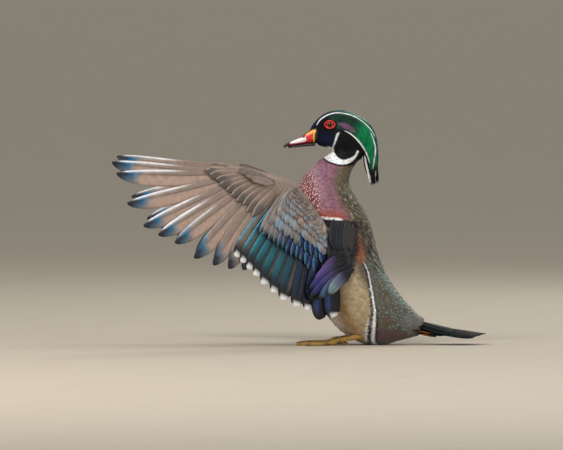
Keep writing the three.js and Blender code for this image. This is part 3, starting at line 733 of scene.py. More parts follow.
def lay_feathers(bunch, places, normals):
    """One short feather at each place, bent to follow the skin and rising from it towards the tip."""
    length, width = feather_size(places)
    n = len(places)
    length = length * rng.uniform(0.85, 1.15, n)
    along = flow(places, normals)
    loose = ruff(places)
    turn = rng.normal(0, 1, n) * (0.08 + 0.14 * loose)
    along = unit(along + np.cross(normals, along) * turn[:, None])
    side = np.cross(normals, along)
    rise = rng.uniform(0.85, 1.05, n) * (1 + 0.9 * loose * rng.random(n))
    T, S = flat_grid(VANE_T, VANE_S)
    k = len(T)
    flat = (
        places[:, None, :]
        + along[:, None, :] * (T[None, :, None] * length[:, None, None])
        + side[:, None, :] * (S * outline(T))[None, :, None] * (width / 2)[:, None, None]
    ).reshape(-1, 3)
    hits = [skin_tree.find_nearest(Vector(p), 60.0) for p in flat.tolist()]
    on, out = (np.array([h[i][:] for h in hits]) for i in (0, 1))
    out = unit(out * 0.6 + np.repeat(normals, k, axis=0) * 0.4)
    height = (0.15 + 0.85 * T[None, :] ** 0.8) * (coat_depth(places) * rise)[:, None]
    height = height + (1 - S**2)[None, :] * (width * 0.05)[:, None]
    final = on + out * height.reshape(-1, 1)
    colour, marks, fringe = coat_colours(final)
    middle = np.repeat((places + along * (length * 0.7)[:, None]), k, axis=0)
    middle_colour, middle_marks, middle_fringe = coat_colours(middle)
    bar, stripe = (line_distance(final[:, 0], final[:, 2], line)[0] for line in (SIDE_BAR, CRESCENT))
    sharp = np.maximum(soft(final[:, 2], 205, 222), 1 - soft(np.minimum(bar, stripe), 7, 11))
    colour = paint(lerp(middle_colour, colour, 0.6), colour, sharp)
    marks = paint(middle_marks, marks, sharp)
    fringe = paint(middle_fringe, fringe, sharp)
    shade = np.repeat(RUFF_COLOURS[rng.integers(0, len(RUFF_COLOURS), n)], k, axis=0)
    share = np.repeat(0.75 * loose * (rng.random(n) < 0.8), k)
    colour = paint(colour, shade, share)
    fringe = paint(fringe, shade * 1.3, share)
    spread = np.interp(places[:, 2], [20, 120, 160, 200, 225], [0.08, 0.08, 0.16, 0.2, 0.34])
    light = np.repeat(1 + spread * rng.uniform(-1, 1, n), k)[:, None]
    patch = body_coordinates(places)[:, None, :] + np.stack([S * 0.0014, T * 0.003 - 0.0015], -1)[None]
    faces = (grid_faces(len(VANE_T), len(VANE_S))[None] + (np.arange(n) * k)[:, None, None]).reshape(-1, 4)
    vane = np.tile(np.stack([S * 0.5 + 0.5, T], -1), (n, 1))
    bunch.add(final, faces, colour * light, marks, fringe * light, vane, patch.reshape(-1, 2))


def contour_spacing(points):
    return feather_size(points)[1] * 0.42


def place_contour_feathers():
    """The small feathers of body and head, in pieces that each hold a band of them."""
    places, normals = scatter(contour_spacing, 60000)
    free = ~bare_face(places[:, 0], places[:, 2])
    free &= np.hypot(places[:, 0] - EYE_X, places[:, 2] - EYE_Z) > EYE_GAP
    places, normals = places[free], normals[free]
    is_head = places[:, 2] > HEAD_FROM_Z
    for name, chosen, slot_name, material in (
        ("body_feathers", ~is_head, "plumage_body", BODY_FEATHER),
        ("head_feathers", is_head, "plumage_head", HEAD_FEATHER),
    ):
        order = np.flatnonzero(chosen)
        order = order[np.argsort(places[order, 2], kind="stable")]
        for k, band in enumerate(np.array_split(order, math.ceil(len(order) / FEATHERS_A_PIECE)), 1):
            bunch = Bunch()
            lay_feathers(bunch, places[band], normals[band])
            place(bunch.build(f"{name}_{k}"), [], material)


place_contour_feathers()

LONG_S = np.array([-1, -0.8, -0.5, -0.22, 0.0, 0.22, 0.5, 0.8, 1.0])


class LongFeathers:
    """Flight and tail feathers: thin closed vanes with a shaft, each with its own bake cell."""

    def __init__(self, columns):
        self.bunch = Bunch()
        self.columns = columns
        self.made = 0

    def add(
        self, root, tip, up, width, colours, rows=20, tilt=0.0, curl=0.0, sweep=0.0, lead=0.42,
        roundness=0.72, point=2.4, stem=0.25,
    ):
        root, tip, up = (np.asarray(v, float) for v in (root, tip, up))
        length = np.linalg.norm(tip - root)
        along = (tip - root) / length
        leading = unit(np.cross(along, up))
        outer = np.cross(leading, along)
        side = leading * math.cos(tilt) + outer * math.sin(tilt)
        blade = np.linspace(0, 0.8, rows - 6, endpoint=False)
        end = 0.8 + 0.2 * np.sin(np.linspace(0, 1, 6) * math.pi / 2)
        T, S = flat_grid(np.concatenate([blade, end]), LONG_S)
        across = np.where(S > 0, S * lead, S * (1 - lead)) * outline(T, roundness, stem, point) * width
        middle = root + along * (T * length)[:, None]
        middle = middle - outer * (curl * T * T)[:, None] + leading * (sweep * 4 * T * (1 - T))[:, None]
        crown = 0.45 * (1 - S**2) - 0.25 * np.abs(S) ** 3
        top = middle + side * across[:, None] + outer * crown[:, None]
        thin = 0.22 * (1 - 0.7 * np.abs(S)) * (1 - 0.5 * T)
        points = np.concatenate([top, top - outer * thin[:, None]])
        n, c = len(T), len(LONG_S)
        face = grid_faces(rows, c)
        r = np.arange(rows - 1) * c
        k = np.arange(c - 1)
        e = (rows - 1) * c + k
        faces = [
            face,
            face[:, ::-1] + n,
            np.stack([r, r + c, r + c + n, r + n], -1),
            np.stack([r + c - 1, r + c - 1 + n, r + 2 * c - 1 + n, r + 2 * c - 1], -1),
            np.stack([k, k + n, k + 1 + n, k + 1], -1),
            np.stack([e, e + 1, e + 1 + n, e + n], -1),
        ]
        tint, gloss, fringe = colours(np.tile(T, 2), np.tile(S, 2))
        marks = gloss_mark(np.broadcast_to(gloss, 2 * n))
        vane = np.tile(np.stack([S * 0.5 + 0.5, T], -1), (2, 1))
        cell = np.array([self.made % self.columns, self.made // self.columns])
        half = np.repeat([0.0, 0.5], n)
        bake = np.stack([0.03 + half + vane[:, 0] * 0.42, 0.03 + vane[:, 1] * 0.94], -1)
        self.bunch.add(points, np.concatenate(faces), tint, marks, fringe, vane, (cell + bake) / self.columns)
        self.made += 1


# Each of these gives tint, gloss and fringe; t runs from root to tip, s from the rear edge to the front.


def primary_colours(t, s, order):
    """order 0 is the innermost primary, 1 the outermost."""
    tint = rows_of(len(t), WING_BROWN)
    tint = paint(tint, WING_PINK, soft(-s, -0.1, 0.3) * (1 - soft(t, 0.78, 0.9)) * 0.85)
    edge = soft(s + 0.35 * (t - 0.7), 0.42, 0.7) * soft(t, 0.4, 0.62)
    edge = edge * (1 - soft(t, 0.92, 0.98)) * soft(order, 0.28, 0.55)
    tint = paint(tint, (0.78, 0.78, 0.82), edge)
    patch = soft(t + 0.06 * s, 0.78, 0.86) * (1 - soft(t, 0.9, 0.95)) * (0.25 + 0.75 * soft(order, 0.1, 0.4))
    tint = paint(tint, (0.012, 0.16, 0.3), patch * (1 - edge))
    tint = paint(tint, (0.01, 0.013, 0.028), soft(t + 0.05 * s, 0.86, 0.93) * (1 - edge))
    return tint, patch * 0.6 + 0.08, tint


def secondary_colours(t, s, order):
    """order 0 is the outermost secondary, 1 the innermost."""
    tint = rows_of(len(t), WING_BROWN) * (0.8 - 0.4 * order)
    blue = soft(t, 0.25, 0.45) * soft(s, -0.35, -0.15)
    teal = lerp((0.003, 0.032, 0.048), (0.003, 0.01, 0.038), soft(order, 0.55, 1.0))
    tint = paint(tint, teal, blue * soft(order, -0.15, 0.3))
    glow = np.exp(-(((t - 0.68) / 0.14) ** 2)) * soft(s, -0.1, 0.3) * (1 - soft(order, 0.55, 0.9))
    tint = paint(tint, (0.004, 0.12, 0.15), glow * 0.75 * soft(order, -0.1, 0.3))
    rim = soft(s, 0.7, 0.9) * (1 - soft(order, 0.1, 0.5)) * (1 - soft(t, 0.8, 0.9))
    tint = paint(tint, (0.02, 0.3, 0.42), rim * 0.8)
    tint = paint(tint, BLACK, soft(t, 0.84, 0.88))
    tint = paint(tint, WHITE, soft(t - 0.02 * s, 0.945, 0.957))
    return tint, blue * 0.6 * (1 - soft(t, 0.9, 0.93)), tint


def tertial_colours(t, s, white_tip):
    """Black-blue inner feather; white_tip is how much of its end is white."""
    stripe = np.exp(-(((s - 0.3) / 0.22) ** 2)) * (1 - soft(t, 0.86, 0.95)) * 0.9
    tint = paint(rows_of(len(t), BLACK), (0.008, 0.04, 0.2), stripe)
    tint = paint(tint, WHITE, soft(t, 0.94, 0.955) * soft(-s, -0.6, 0.2) * white_tip)
    return tint, 0.5, tint


def scapular_colours(t, s, column):
    """Blue-black, browner at the rear."""
    tint = rows_of(len(t), SLATE) * rng.uniform(0.35, 0.95)
    tint = paint(tint, (0.05, 0.04, 0.035), np.full(len(t), 0.5 * (column > 3)))
    tint = paint(tint, (0.016, 0.02, 0.04), soft(s, 0.0, 0.9) * 0.5)
    return tint, 0.3, tint


SHOWY_ENDS = [
    (0.1, 0.045, 0.2), (0.14, 0.07, 0.32), (0.025, 0.03, 0.2),
    (0.03, 0.02, 0.16), (0.06, 0.12, 0.24), (0.22, 0.33, 0.36),
]


def showy_colours(t, s, order):
    """Purple, blue or pale turquoise ends, from the lowest feather to the uppermost."""
    barred = 0.75 + 0.25 * np.sin(9 * s + 5 * t + order)
    end = soft(t, 0.3, 0.62) * (1 - soft(t, 0.92, 0.99)) * barred
    tint = paint(rows_of(len(t), SLATE), SHOWY_ENDS[order], end)
    tint = paint(tint, (0.07, 0.045, 0.16), soft(t, 0.25, 0.45) * (1 - soft(t, 0.55, 0.75)) * 0.5)
    tint = paint(tint, BLACK, soft(t + 0.1 * np.abs(s), 0.9, 0.99) * 0.8)
    return tint, 0.5, tint


def covert_colours(t, s, dark, fleck, end=0.0):
    """Brown-grey covert; fleck is the share of a sky-blue rim, and end of a black tip."""
    n = len(t)
    warm = rng.uniform(0.0, 0.6)
    tint = paint(rows_of(n, WING_BROWN), (0.3, 0.29, 0.28), np.full(n, rng.uniform(0, 0.7)))
    tint = tint * dark * rng.uniform(0.68, 1.2)
    tint = paint(tint, WING_PINK, soft(-s, -0.4, 0.8) * warm)
    tint = paint(tint, BLACK, soft(t, 0.72, 0.98) * end)
    has = fleck * (rng.random() < 0.5) * rng.uniform(0.35, 0.95)
    uneven = 0.6 + 0.4 * np.sin(7 * s + 9 * t + rng.uniform(0, 6))
    spot = soft(t, 0.6, 0.84) * (1 - soft(np.abs(s - 0.15), 0.3, 0.85)) * has * uneven
    rim = paint(tint * 0.7, SKY, soft(s, -0.2, 0.5) * soft(t, 0.5, 0.75) * has * 0.7)
    return paint(tint, SKY, spot), 0.12, rim


def hand_covert_colours(t, s, order):
    """The row over the primaries' roots: brown with grey-green ends, alike from end to end."""
    tint = rows_of(len(t), WING_BROWN) * rng.uniform(0.8, 1.1)
    tint = paint(tint, (0.09, 0.085, 0.075), soft(t, 0.5, 0.75) * 0.85)
    return tint, 0.12, paint(tint, WING_PINK, soft(s, 0.2, 0.7) * 0.7)


def blue_covert_colours(t, s, order):
    """order 0 is the outermost of the row, 1 the innermost."""
    tint = rows_of(len(t), WING_BROWN) * (1.0 - 0.3 * order)
    deep = soft(t, 0.45, 0.75) * soft(order, 0.05, 0.5)
    tint = paint(tint, (0.004, 0.01, 0.045), deep)
    blue = soft(t, 0.5, 0.7) * soft(s, 0.2, 0.7) * soft(order, 0.2, 0.6) * 0.6
    tint = paint(tint, (0.006, 0.06, 0.24), blue)
    tint = paint(tint, BLACK, soft(t, 0.84, 0.95) * 0.9)
    return tint, deep * 0.6, paint(tint, SKY, soft(s, 0.2, 0.8) * 0.5)


def mixed_covert_colours(t, s, order):
    """Brown in the outer half of the row, blue in the inner half."""
    if order > 0.55:
        return blue_covert_colours(t, s, order)
    return covert_colours(t, s, 1.0 - 0.4 * order, 0.9, 0.5 * order)


def tail_colours(t, s):
    tint = paint(rows_of(len(t), (0.003, 0.0032, 0.0034)), (0.003, 0.008, 0.006), soft(s, -0.2, 0.6) * 0.6)
    return tint, 0.08, tint


def rump_colours(t, s):
    tint = rows_of(len(t), (0.006, 0.006, 0.006))
    return tint, 0.15, lerp(tint, (0.006, 0.03, 0.022), 0.5)


def streak_colours(t, s):
    streak = soft(0.35 - np.abs(s - 0.2), 0, 0.2) * soft(t, 0.2, 0.4) * 0.9
    tint = paint(rows_of(len(t), BLACK), ORANGE, streak)
    return tint, 0.1, tint


# The wing's places are X and Z in a plane that runs forward and outward from the shoulder.
WING_SLOPE = 0.475
WING_ROOT_X = -45.0
WING_ROOT_Y = -46.0
WING_RISE = 0.028
WING_UP = unit(np.array([WING_SLOPE, -1.0, 0.0]))
PRIMARY_TIPS = [
    (-161, 91.5), (-178, 93), (-196.5, 97.6), (-219, 106), (-242, 124.5),
    (-261.5, 134), (-279, 145), (-298, 172), (-310.5, 208), (-315.5, 221.5),
]
SECONDARY_TIPS = [
    (-171, 108), (-163.5, 101), (-156, 93), (-148, 85), (-139, 74.5),
    (-127, 64.5), (-116, 55), (-100, 47), (-85.5, 42.5),
]
# Tip X and Z, root X and Z, width.
TERTIALS = [
    (-72, 31, -62, 132, 24), (-57, 33.5, -54, 128, 24), (-82, 55, -62, 134, 23), (-64, 62, -52, 130, 24),
]
SHOWY = [
    (-74, 86, -42, 112, 12), (-82, 78, -40, 108, 12), (-88, 69, -38, 103, 12),
    (-87, 60, -36, 98, 12), (-77, 57, -34, 94, 13), (-67, 62, -31, 93, 15),
]
# Tip Z and root Z.
SCAPULAR_ROWS = [(80, 124), (92, 136), (104, 146), (117, 152)]
# Count, then X and Z of the outer and the inner root, of the outer and the inner tip,
# width, lift, rise and the colours, or the darkness and blue fleck of a brown covert.
COVERT_ROWS = [
    (10, (-118, 193, -172, 210), (-150, 157, -208, 213), 11, 2.6, 0.8, hand_covert_colours),
    (13, (-108, 190, -62, 140), (-144, 137, -78, 90), 15, 5, 4, blue_covert_colours),
    (11, (-104, 190, -64, 143), (-132, 148, -69, 100), 14.5, 6.2, 4.0, mixed_covert_colours),
    (12, (-102, 190, -66, 147), (-123, 158, -67, 110), 13, 7.0, 4.0, (1.0, 0.9)),
    (12, (-101, 190, -68, 149), (-116, 165, -65, 119), 12, 7.7, 3.9, (1.0, 0.8)),
    (12, (-101, 191, -71, 153), (-111, 171, -65, 128), 11, 8.2, 3.6, (0.95, 0.7)),
    (12, (-100, 192, -75, 159), (-108, 177, -67, 137), 10, 8.5, 3.2, (0.9, 0.5)),
    (11, (-98, 190, -80, 166), (-105, 182, -70, 146), 9, 8.6, 2.6, (0.85, 0.3)),
    (9, (-96, 191, -86, 172), (-103, 186, -76, 157), 8, 8.4, 2.0, (0.7, 0.0)),
]
# X, Z, half width and half thickness of the feathered arm.
ARM = [
    (-34, 134, 8, 7), (-50, 131, 10, 9), (-67, 138, 13, 9), (-81, 154, 17, 8), (-96, 174, 18, 6.5),
    (-113, 188, 14.5, 5), (-134, 198, 9, 3.8), (-158, 205.5, 6.5, 2.8), (-180, 210.5, 3.5, 1.6),
]


def wing_point(x, z, lift=0.0):
    y = WING_ROOT_Y + (x - WING_ROOT_X) * WING_SLOPE
    return np.array([x, y, z + WING_RISE * abs(y)]) + WING_UP * lift


def wing_skin(bunch):
    """The feathered arm under the coverts."""
    steps, sides = 40, 24
    rows = curve_at(ARM, np.linspace(0, 1, steps))
    middle = np.array([wing_point(x, z, -thick * 0.4) for x, z, _, thick in rows])
    across = unit(np.cross(unit(np.gradient(middle, axis=0)), WING_UP))
    a = circle(sides)
    half, thick = 0.86 * rows[:, 2, None, None], 0.86 * rows[:, 3, None, None]
    points = middle[:, None] + across[:, None] * (np.cos(a)[None, :, None] * half)
    points = points + WING_UP * (np.sin(a)[None, :, None] * thick)
    t, turn = flat_grid(np.linspace(0, 1, steps), a / (2 * math.pi))
    vane = np.stack([turn, t * 8 % 1], -1)
    bake = np.stack([turn * 0.5, t * 0.05], -1) * 0.98 + 0.001 + np.array([0, 0.94])
    faces = grid_faces(steps, sides, True)
    bunch.add(points.reshape(-1, 3), faces, WING_BROWN, (0, 0, 0.1), WING_BROWN, vane, bake)


def flight_feathers(wing):
    """Primaries, secondaries and tertials."""
    for k, (x, z) in enumerate(PRIMARY_TIPS):
        t = k / (len(PRIMARY_TIPS) - 1)
        wing.add(
            wing_point(-117 + t * -56, 192 + t * 17.5, -1), wing_point(x, z, 3 - 4 * t), WING_UP, 24 - 4 * t,
            partial(primary_colours, order=t), rows=34, tilt=0.09, curl=2 + 3 * t, sweep=3 - 5 * t,
            lead=0.4 - 0.12 * t, roundness=0.62,
        )
    for k, (x, z) in enumerate(SECONDARY_TIPS):
        t = k / (len(SECONDARY_TIPS) - 1)
        wing.add(
            wing_point(-110 + 44 * t, 189 - 45 * t, -0.5 + 2 * t), wing_point(x, z, 3.5 + 3.5 * t), WING_UP,
            19 + 3 * t, partial(secondary_colours, order=t), rows=30, tilt=0.1, curl=2, sweep=3,
            roundness=0.8, point=3.0,
        )
    for k, (x, z, root_x, root_z, width) in enumerate(TERTIALS):
        wing.add(
            wing_point(root_x, root_z, 3), wing_point(x, z, 8 + 1.4 * k), WING_UP, width,
            partial(tertial_colours, white_tip=k == 1), rows=26, tilt=0.08, curl=1, sweep=2,
            roundness=0.8, point=3.0,
        )


def shoulder_feathers(wing):
    """The dark scapulars over the wing's root, and the long coloured ones below them."""
    for row, (tip_z, root_z) in enumerate(SCAPULAR_ROWS):
        for k in range(7):
            x = -56 + 3.9 * k + 2 * (row % 2) - 1
            root = wing_point(x + 1, root_z - 0.5 * k + jitter(2.2), 5 + 1.2 * row)
            tip = wing_point(x - 4 + jitter(1), tip_z + jitter(4), 9 + 1.5 * row)
            colours = partial(scapular_colours, column=k)
            wing.add(root, tip, WING_UP, 10, colours, rows=16, tilt=0.05, curl=1, sweep=1, roundness=0.6)
    for k, (x, z, root_x, root_z, width) in enumerate(SHOWY):
        wing.add(
            wing_point(root_x, root_z, 12), wing_point(x, z, 16.4 + 0.9 * k), WING_UP, width,
            partial(showy_colours, order=k), rows=22, tilt=0.08, curl=1, sweep=3, roundness=0.5,
        )


def covert_feathers(wing):
    """Rows of coverts above the flight feathers, the thumb's feathers, and the lining below."""
    for count, roots, tips, width, lift, rise, style in COVERT_ROWS:
        for k in range(count):
            t = k / (count - 1)
            root_x, root_z = lerp(roots[:2], roots[2:], t)
            tip_x, tip_z = lerp(tips[:2], tips[2:], t)
            tip = wing_point(tip_x + jitter(1.4), tip_z + jitter(1.4), lift + rise + jitter(0.3))
            if callable(style):
                colours = partial(style, order=t)
            else:
                colours = partial(covert_colours, dark=style[0], fleck=style[1])
            wing.add(
                wing_point(root_x, root_z, lift * 0.4), tip, WING_UP, width * rng.uniform(0.85, 1.15),
                colours, rows=14, tilt=0.1 + jitter(0.06), curl=1, roundness=0.6, stem=0.4,
            )
    for k in range(3):
        root, tip = wing_point(-124, 200 - k * 2, 3), wing_point(-168 + k * 7, 214 - k * 5, 5 + k)
        wing.add(root, tip, WING_UP, 9, partial(covert_colours, dark=0.9, fleck=0.0), rows=16, tilt=0.05)
    for k in range(12):
        t = k / 11
        root, tip = wing_point(-76 - 84 * t, 158 + 46 * t, -3), wing_point(-98 - 98 * t, 108 + 78 * t, -4)
        colours = partial(covert_colours, dark=1.6, fleck=0.0)
        wing.add(root, tip, WING_UP, 16, colours, rows=14, tilt=0.1, curl=2)


def place_wings():
    """The left wing, and the right one as its mirror image."""
    wing = LongFeathers(24)
    wing_skin(wing.bunch)
    flight_feathers(wing)
    shoulder_feathers(wing)
    covert_feathers(wing)
    left = wing.bunch.build("wing_feathers_left")
    right = bpy.data.objects.new("wing_feathers_right", left.data.copy())
    right.data.transform(Matrix.Diagonal((1, -1, 1, 1)))
    right.data.flip_normals()
    bpy.context.scene.collection.objects.link(right)
    place(left, ["wing_left"], WING_FEATHER)
    place(right, ["wing_right"], WING_FEATHER)


place_wings()

TAIL_ROOT = np.array([50.0, 0.0, 24.0])
TAIL_LENGTH = 83.0


def tail_fan(tail, count, length, spread, width, z, drop, start, colours, rows=16):
    for k in range(count):
        t = 2 * k / (count - 1) - 1
        angle = math.radians(spread * t)
        reach = length * (1 - 0.16 * t * t) + jitter(0.8)
        root = np.array([TAIL_ROOT[0] + start, t * 9, TAIL_ROOT[2] + z - 5 * t * t + 1.6 * abs(t)])
        fall = drop * reach + 1.5 * t * t
        tip = root + np.array([reach * math.cos(angle), reach * math.sin(angle), -fall])
        roll = unit(np.array([0, 0.7 * t, 1.0]))
        tilt = 0.1 if t < 0 else -0.1
        tail.add(root, tip, roll, width, colours, rows=rows, tilt=tilt, lead=0.5, curl=1, roundness=0.66)


def place_tail():
    tail = LongFeathers(8)
    tail_fan(tail, 14, TAIL_LENGTH, 13, 15, 0, 0.12, 2, tail_colours, 24)
    tail_fan(tail, 7, 46, 14, 14, 4, 0.2, 4, rump_colours)
    tail_fan(tail, 6, 36, 16, 13, 6, 0.26, 0, rump_colours)
    tail_fan(tail, 6, 42, 15, 12, -6, -0.04, 6, rump_colours)
    for side, k in itertools.product((-1, 1), range(2)):
        root = np.array([46 + k * 4, side * (19 - k), 19 - k * 4.0])
        tip = root + np.array([27 - 2 * k, side * -3.0, -6 + k * 0.8])
        tail.add(root, tip, unit(np.array([0.1, side, 0.5])), 3, streak_colours, rows=14, roundness=0.4)
    place(tail.bunch.build("tail_feathers_all"), ["tail"], TAIL_FEATHER)


place_tail()

# The crest's fall from the crown: outer X and Z, inner X and Z, half width.
CREST = [
    (-30, 283.5, -26, 262, 12), (-15, 276.6, -18, 252, 11.5), (-4.6, 266, -15, 241, 9.5),
    (1, 253, -14, 231, 8), (3, 239, -13, 222, 6.5), (3.4, 225, -11, 214, 5),
    (3, 212, -8, 206, 3.4), (2, 199, -4, 197, 1.6),
]
CREST_CORE_END = 0.84
# Angles round the crest at which its locks gather into points.
WISPS = np.array([0.2, 1.7, 2.9, 3.4, 4.6, 6.1])


def crest_point(s, angle, out):
    """A place on the crest: s along its fall, angle round it from the outer edge, out above it."""
    ux, uz, lx, lz, w = curve_at(CREST, s).T
    up, wide = rounded(angle)
    reach = up * (1 + out / np.maximum(np.hypot(ux - lx, uz - lz) / 2, 3)) / 2
    x = (ux + lx) / 2 + (ux - lx) * reach
    z = (uz + lz) / 2 + (uz - lz) * reach
    return np.stack([x, wide * (w + out), z], -1)


def crest_core():
    steps, sides = 50, 30
    s, a = flat_grid(np.linspace(0.02, CREST_CORE_END, steps), circle(sides))
    points = crest_point(s, a, np.full(s.size, -1.0))
    colour, gloss = head_colours(*points.T)
    uv = np.stack([a / (2 * math.pi), s], -1)
    bunch = Bunch()
    faces = grid_faces(steps, sides, True)
    # The core takes the head's colours at 0.6: painted shade under the crest's locks.
    bunch.add(points, faces, colour * 0.6, gloss_mark(gloss), colour * 0.6, uv * 8 % 1, uv * 0.98 + 0.01)
    return bunch.build("crest_core")


def turned(angle):
    """The same angle, from minus half a turn to half a turn."""
    return (angle + math.pi) % (2 * math.pi) - math.pi


def crest_locks(count):
    """Narrow feathers that follow the crest's fall and come free of it at the end."""
    bunch = Bunch()
    T, S = flat_grid(np.linspace(0, 1, 11), np.array([-1, -0.4, 0.4, 1.0]))
    faces = grid_faces(11, 4)
    vane = np.stack([S * 0.5 + 0.5, T], -1)
    for _ in range(count):
        start = rng.uniform(0.0, 0.72)
        angle = rng.uniform(0, 2 * math.pi)
        end = min(start + rng.uniform(0.22, 0.34), 1.0 + rng.uniform(-0.03, 0.0))
        if start > 0.55:
            end = rng.uniform(0.86, 1.0)
        width = rng.uniform(2.0, 3.0)
        s = start + (end - start) * T
        row = curve_at(CREST, s)
        around = np.pi * (row[:, 4] + np.hypot(row[:, 0] - row[:, 2], row[:, 1] - row[:, 3]) / 2)
        turn = S * width / 2 * outline(T, 0.35, 0.6, 1.6) / around * 2 * math.pi
        wisp = WISPS[np.abs(turned(WISPS - angle)).argmin()]
        turn = turn + turned(wisp - angle) * soft(s, 0.74, 0.96) * 0.9
        out = -1.2 + 2.0 * T + (1 - S**2) * 0.25 + jitter(0.3)
        points = crest_point(np.clip(s, 0, 1), angle + turn, out)
        free = (soft(s, 0.82, 1.0) * T)[:, None]
        points = points + free * np.array([jitter(2.2), jitter(1.6), jitter(4.0)])
        colour, gloss = head_colours(*points.T)
        tint = colour * rng.uniform(0.8, 1.15)
        at = np.array([angle / (2 * math.pi), min(start, 1)]) * 0.98 + 0.01
        patch = at + np.stack([S * 0.0014, T * 0.003], -1)
        bunch.add(points, faces, tint, gloss_mark(gloss), tint, vane, patch)
    return bunch.build("crest_locks")


place(crest_core(), [], HEAD_FEATHER)
place(crest_locks(1400), ["crest"], HEAD_FEATHER)

# Rings of the bill: top X and Z, bottom X and Z, half width.
BILL = [
    (-68.5, 268.6, -70, 246.6, 8.6), (-76.5, 264, -77, 246.2, 9.4), (-84, 259, -84, 245.6, 8.2),
    (-92, 253.5, -92, 244.5, 7.8), (-100, 249.6, -100, 243, 8), (-106, 247, -106.4, 241.6, 7),
    (-110.6, 244, -110.6, 240, 3.6),
]
LOWER_BILL = [
    (-73, 247.2, -73, 242.2, 7.168), (-77, 246.9, -77, 242.0, 7.392), (-84, 246.3, -84, 241.6, 7.056),
    (-92, 245.2, -92, 241.0, 6.944), (-100, 243.7, -100, 240.0, 6.72), (-105, 242.5, -105, 239.6, 4.704),
]
WHITE_SIDE = [
    (-104.5, 245.8), (-100, 249.6), (-92, 252.0), (-85.0, 254.5), (-83.5, 249.5), (-86, 247.6), (-96, 246.0),
]
NOSTRIL = (-87.0, 253.4)


def horn_loft(table, steps, sides, end_round):
    """Points, faces and map of a bill half, closed at the back and rounded at the tip."""
    ux, uz, lx, lz, w = (column[:, None] for column in curve_at(table, np.linspace(0, 1, steps)).T)
    a = circle(sides)
    up, wide = rounded(a)
    share = (1 - up) / 2
    points = np.stack(np.broadcast_arrays(ux + (lx - ux) * share, wide * w, uz + (lz - uz) * share), -1)
    close = points[-1].mean(0)
    start = points[:1].mean(1, keepdims=True)
    rings = [(points[:1] - start) * 0.01 + start, points]
    for k in np.linspace(0, 1, 7)[1:]:
        shrink = math.cos(k * math.pi / 2) * 0.999 + 0.001
        push = np.array([-end_round * math.sin(k * math.pi / 2), 0, -0.3 * k])
        rings.append(((points[-1] - close) * shrink + close + push)[None])
    points = np.concatenate(rings)
    v, u = flat_grid(np.linspace(0, 1, len(points)), a / (2 * math.pi))
    return points.reshape(-1, 3), grid_faces(len(points), sides, True), np.stack([u, v], -1)


def bill_colours(points):
    """Colour of the upper bill, with painted shade in its nostrils, and how deep its nostrils lie at each
    place.
    """
    x, y, z = points.T
    along, top, _, low, _ = zip(*BILL[::-1])
    low = np.interp(x, along, low)
    high = (z - low) / (np.interp(x, along, top) - low)
    colour = paint(rows_of(len(x), BILL_RED), (0.62, 0.03, 0.09), 1 - soft(z, 244, 250))
    colour = paint(colour, BILL_WHITE, inside(x, z, WHITE_SIDE, 0.5))
    ridge = (1 - soft(np.abs(y), 3.0, 4.2)) * soft(high, 0.7, 0.8)
    ridge = np.maximum(ridge, soft(high, 0.86, 0.92) * (1 - soft(x, -77, -73)))
    colour = paint(colour, BILL_BLACK, ridge)
    colour = paint(colour, BILL_BLACK, 1 - soft(x, -104.4, -102.6))
    d, _ = line_distance(x, z, [(-74.6, 247.5), (-74.6, 257), (-70.5, 267)])
    yellow = 1 - soft(d, 0.8, 1.3)
    colour = paint(colour, BLACK, soft(x + (z - 257) * -0.36, -74.2, -73.6))
    d, _ = line_distance(x, z, [(-70, 265.5), (-76, 261.2), (-83, 256.8)])
    yellow = np.maximum(yellow, (1 - soft(d, 0.7, 1.5)) * (np.abs(y) > 2.6)) * (1 - ridge)
    colour = paint(colour, BILL_YELLOW, yellow)
    dx, dz = x - NOSTRIL[0], z - NOSTRIL[1]
    hole = 1 - soft(np.hypot(dx * 0.75 + dz * 0.35, dz * 1.3 - dx * 0.2), 1.1, 1.7)
    # The nostrils are painted black: painted shade in their holes.
    return paint(colour, BILL_BLACK, hole), hole


def dark_horn(points):
    return rows_of(len(points), (0.012, 0.01, 0.01)), np.zeros(len(points))


def bill_piece(name, table, node, colours, end_round):
    points, faces, uv = horn_loft(table, 110, 96, end_round)
    colour, hole = colours(points)
    points[:, 1] -= np.sign(points[:, 1]) * hole * 1.1
    thing = make_mesh(name, points, faces, colour, colour * 0, colour, uv, uv * 0.98 + 0.01)
    place(thing, [node], HORN)


bill_piece("bill_top", BILL, "bill_upper", bill_colours, 1.2)
bill_piece("bill_under", LOWER_BILL, "bill_lower", dark_horn, 0.8)

EYE = np.array([EYE_X, -14.4, EYE_Z])
EYE_RADIUS = 5.3
EYE_OUT = unit(np.array([-0.12, -1.0, 0.1]))
EYE_FIRST = unit(np.cross(EYE_OUT, (0, 0, 1.0)))
EYE_SECOND = np.cross(EYE_FIRST, EYE_OUT)


def sided_mesh(name, points, faces, colour, uv, flip):
    """A piece of the left eye as it is, or with flip as its mirror image on the right."""
    if flip:
        points = points * (1, -1, 1)
        faces = faces[:, ::-1]
    return make_mesh(name, points, faces, colour, colour * 0, colour, uv, uv * 0.98 + 0.01)


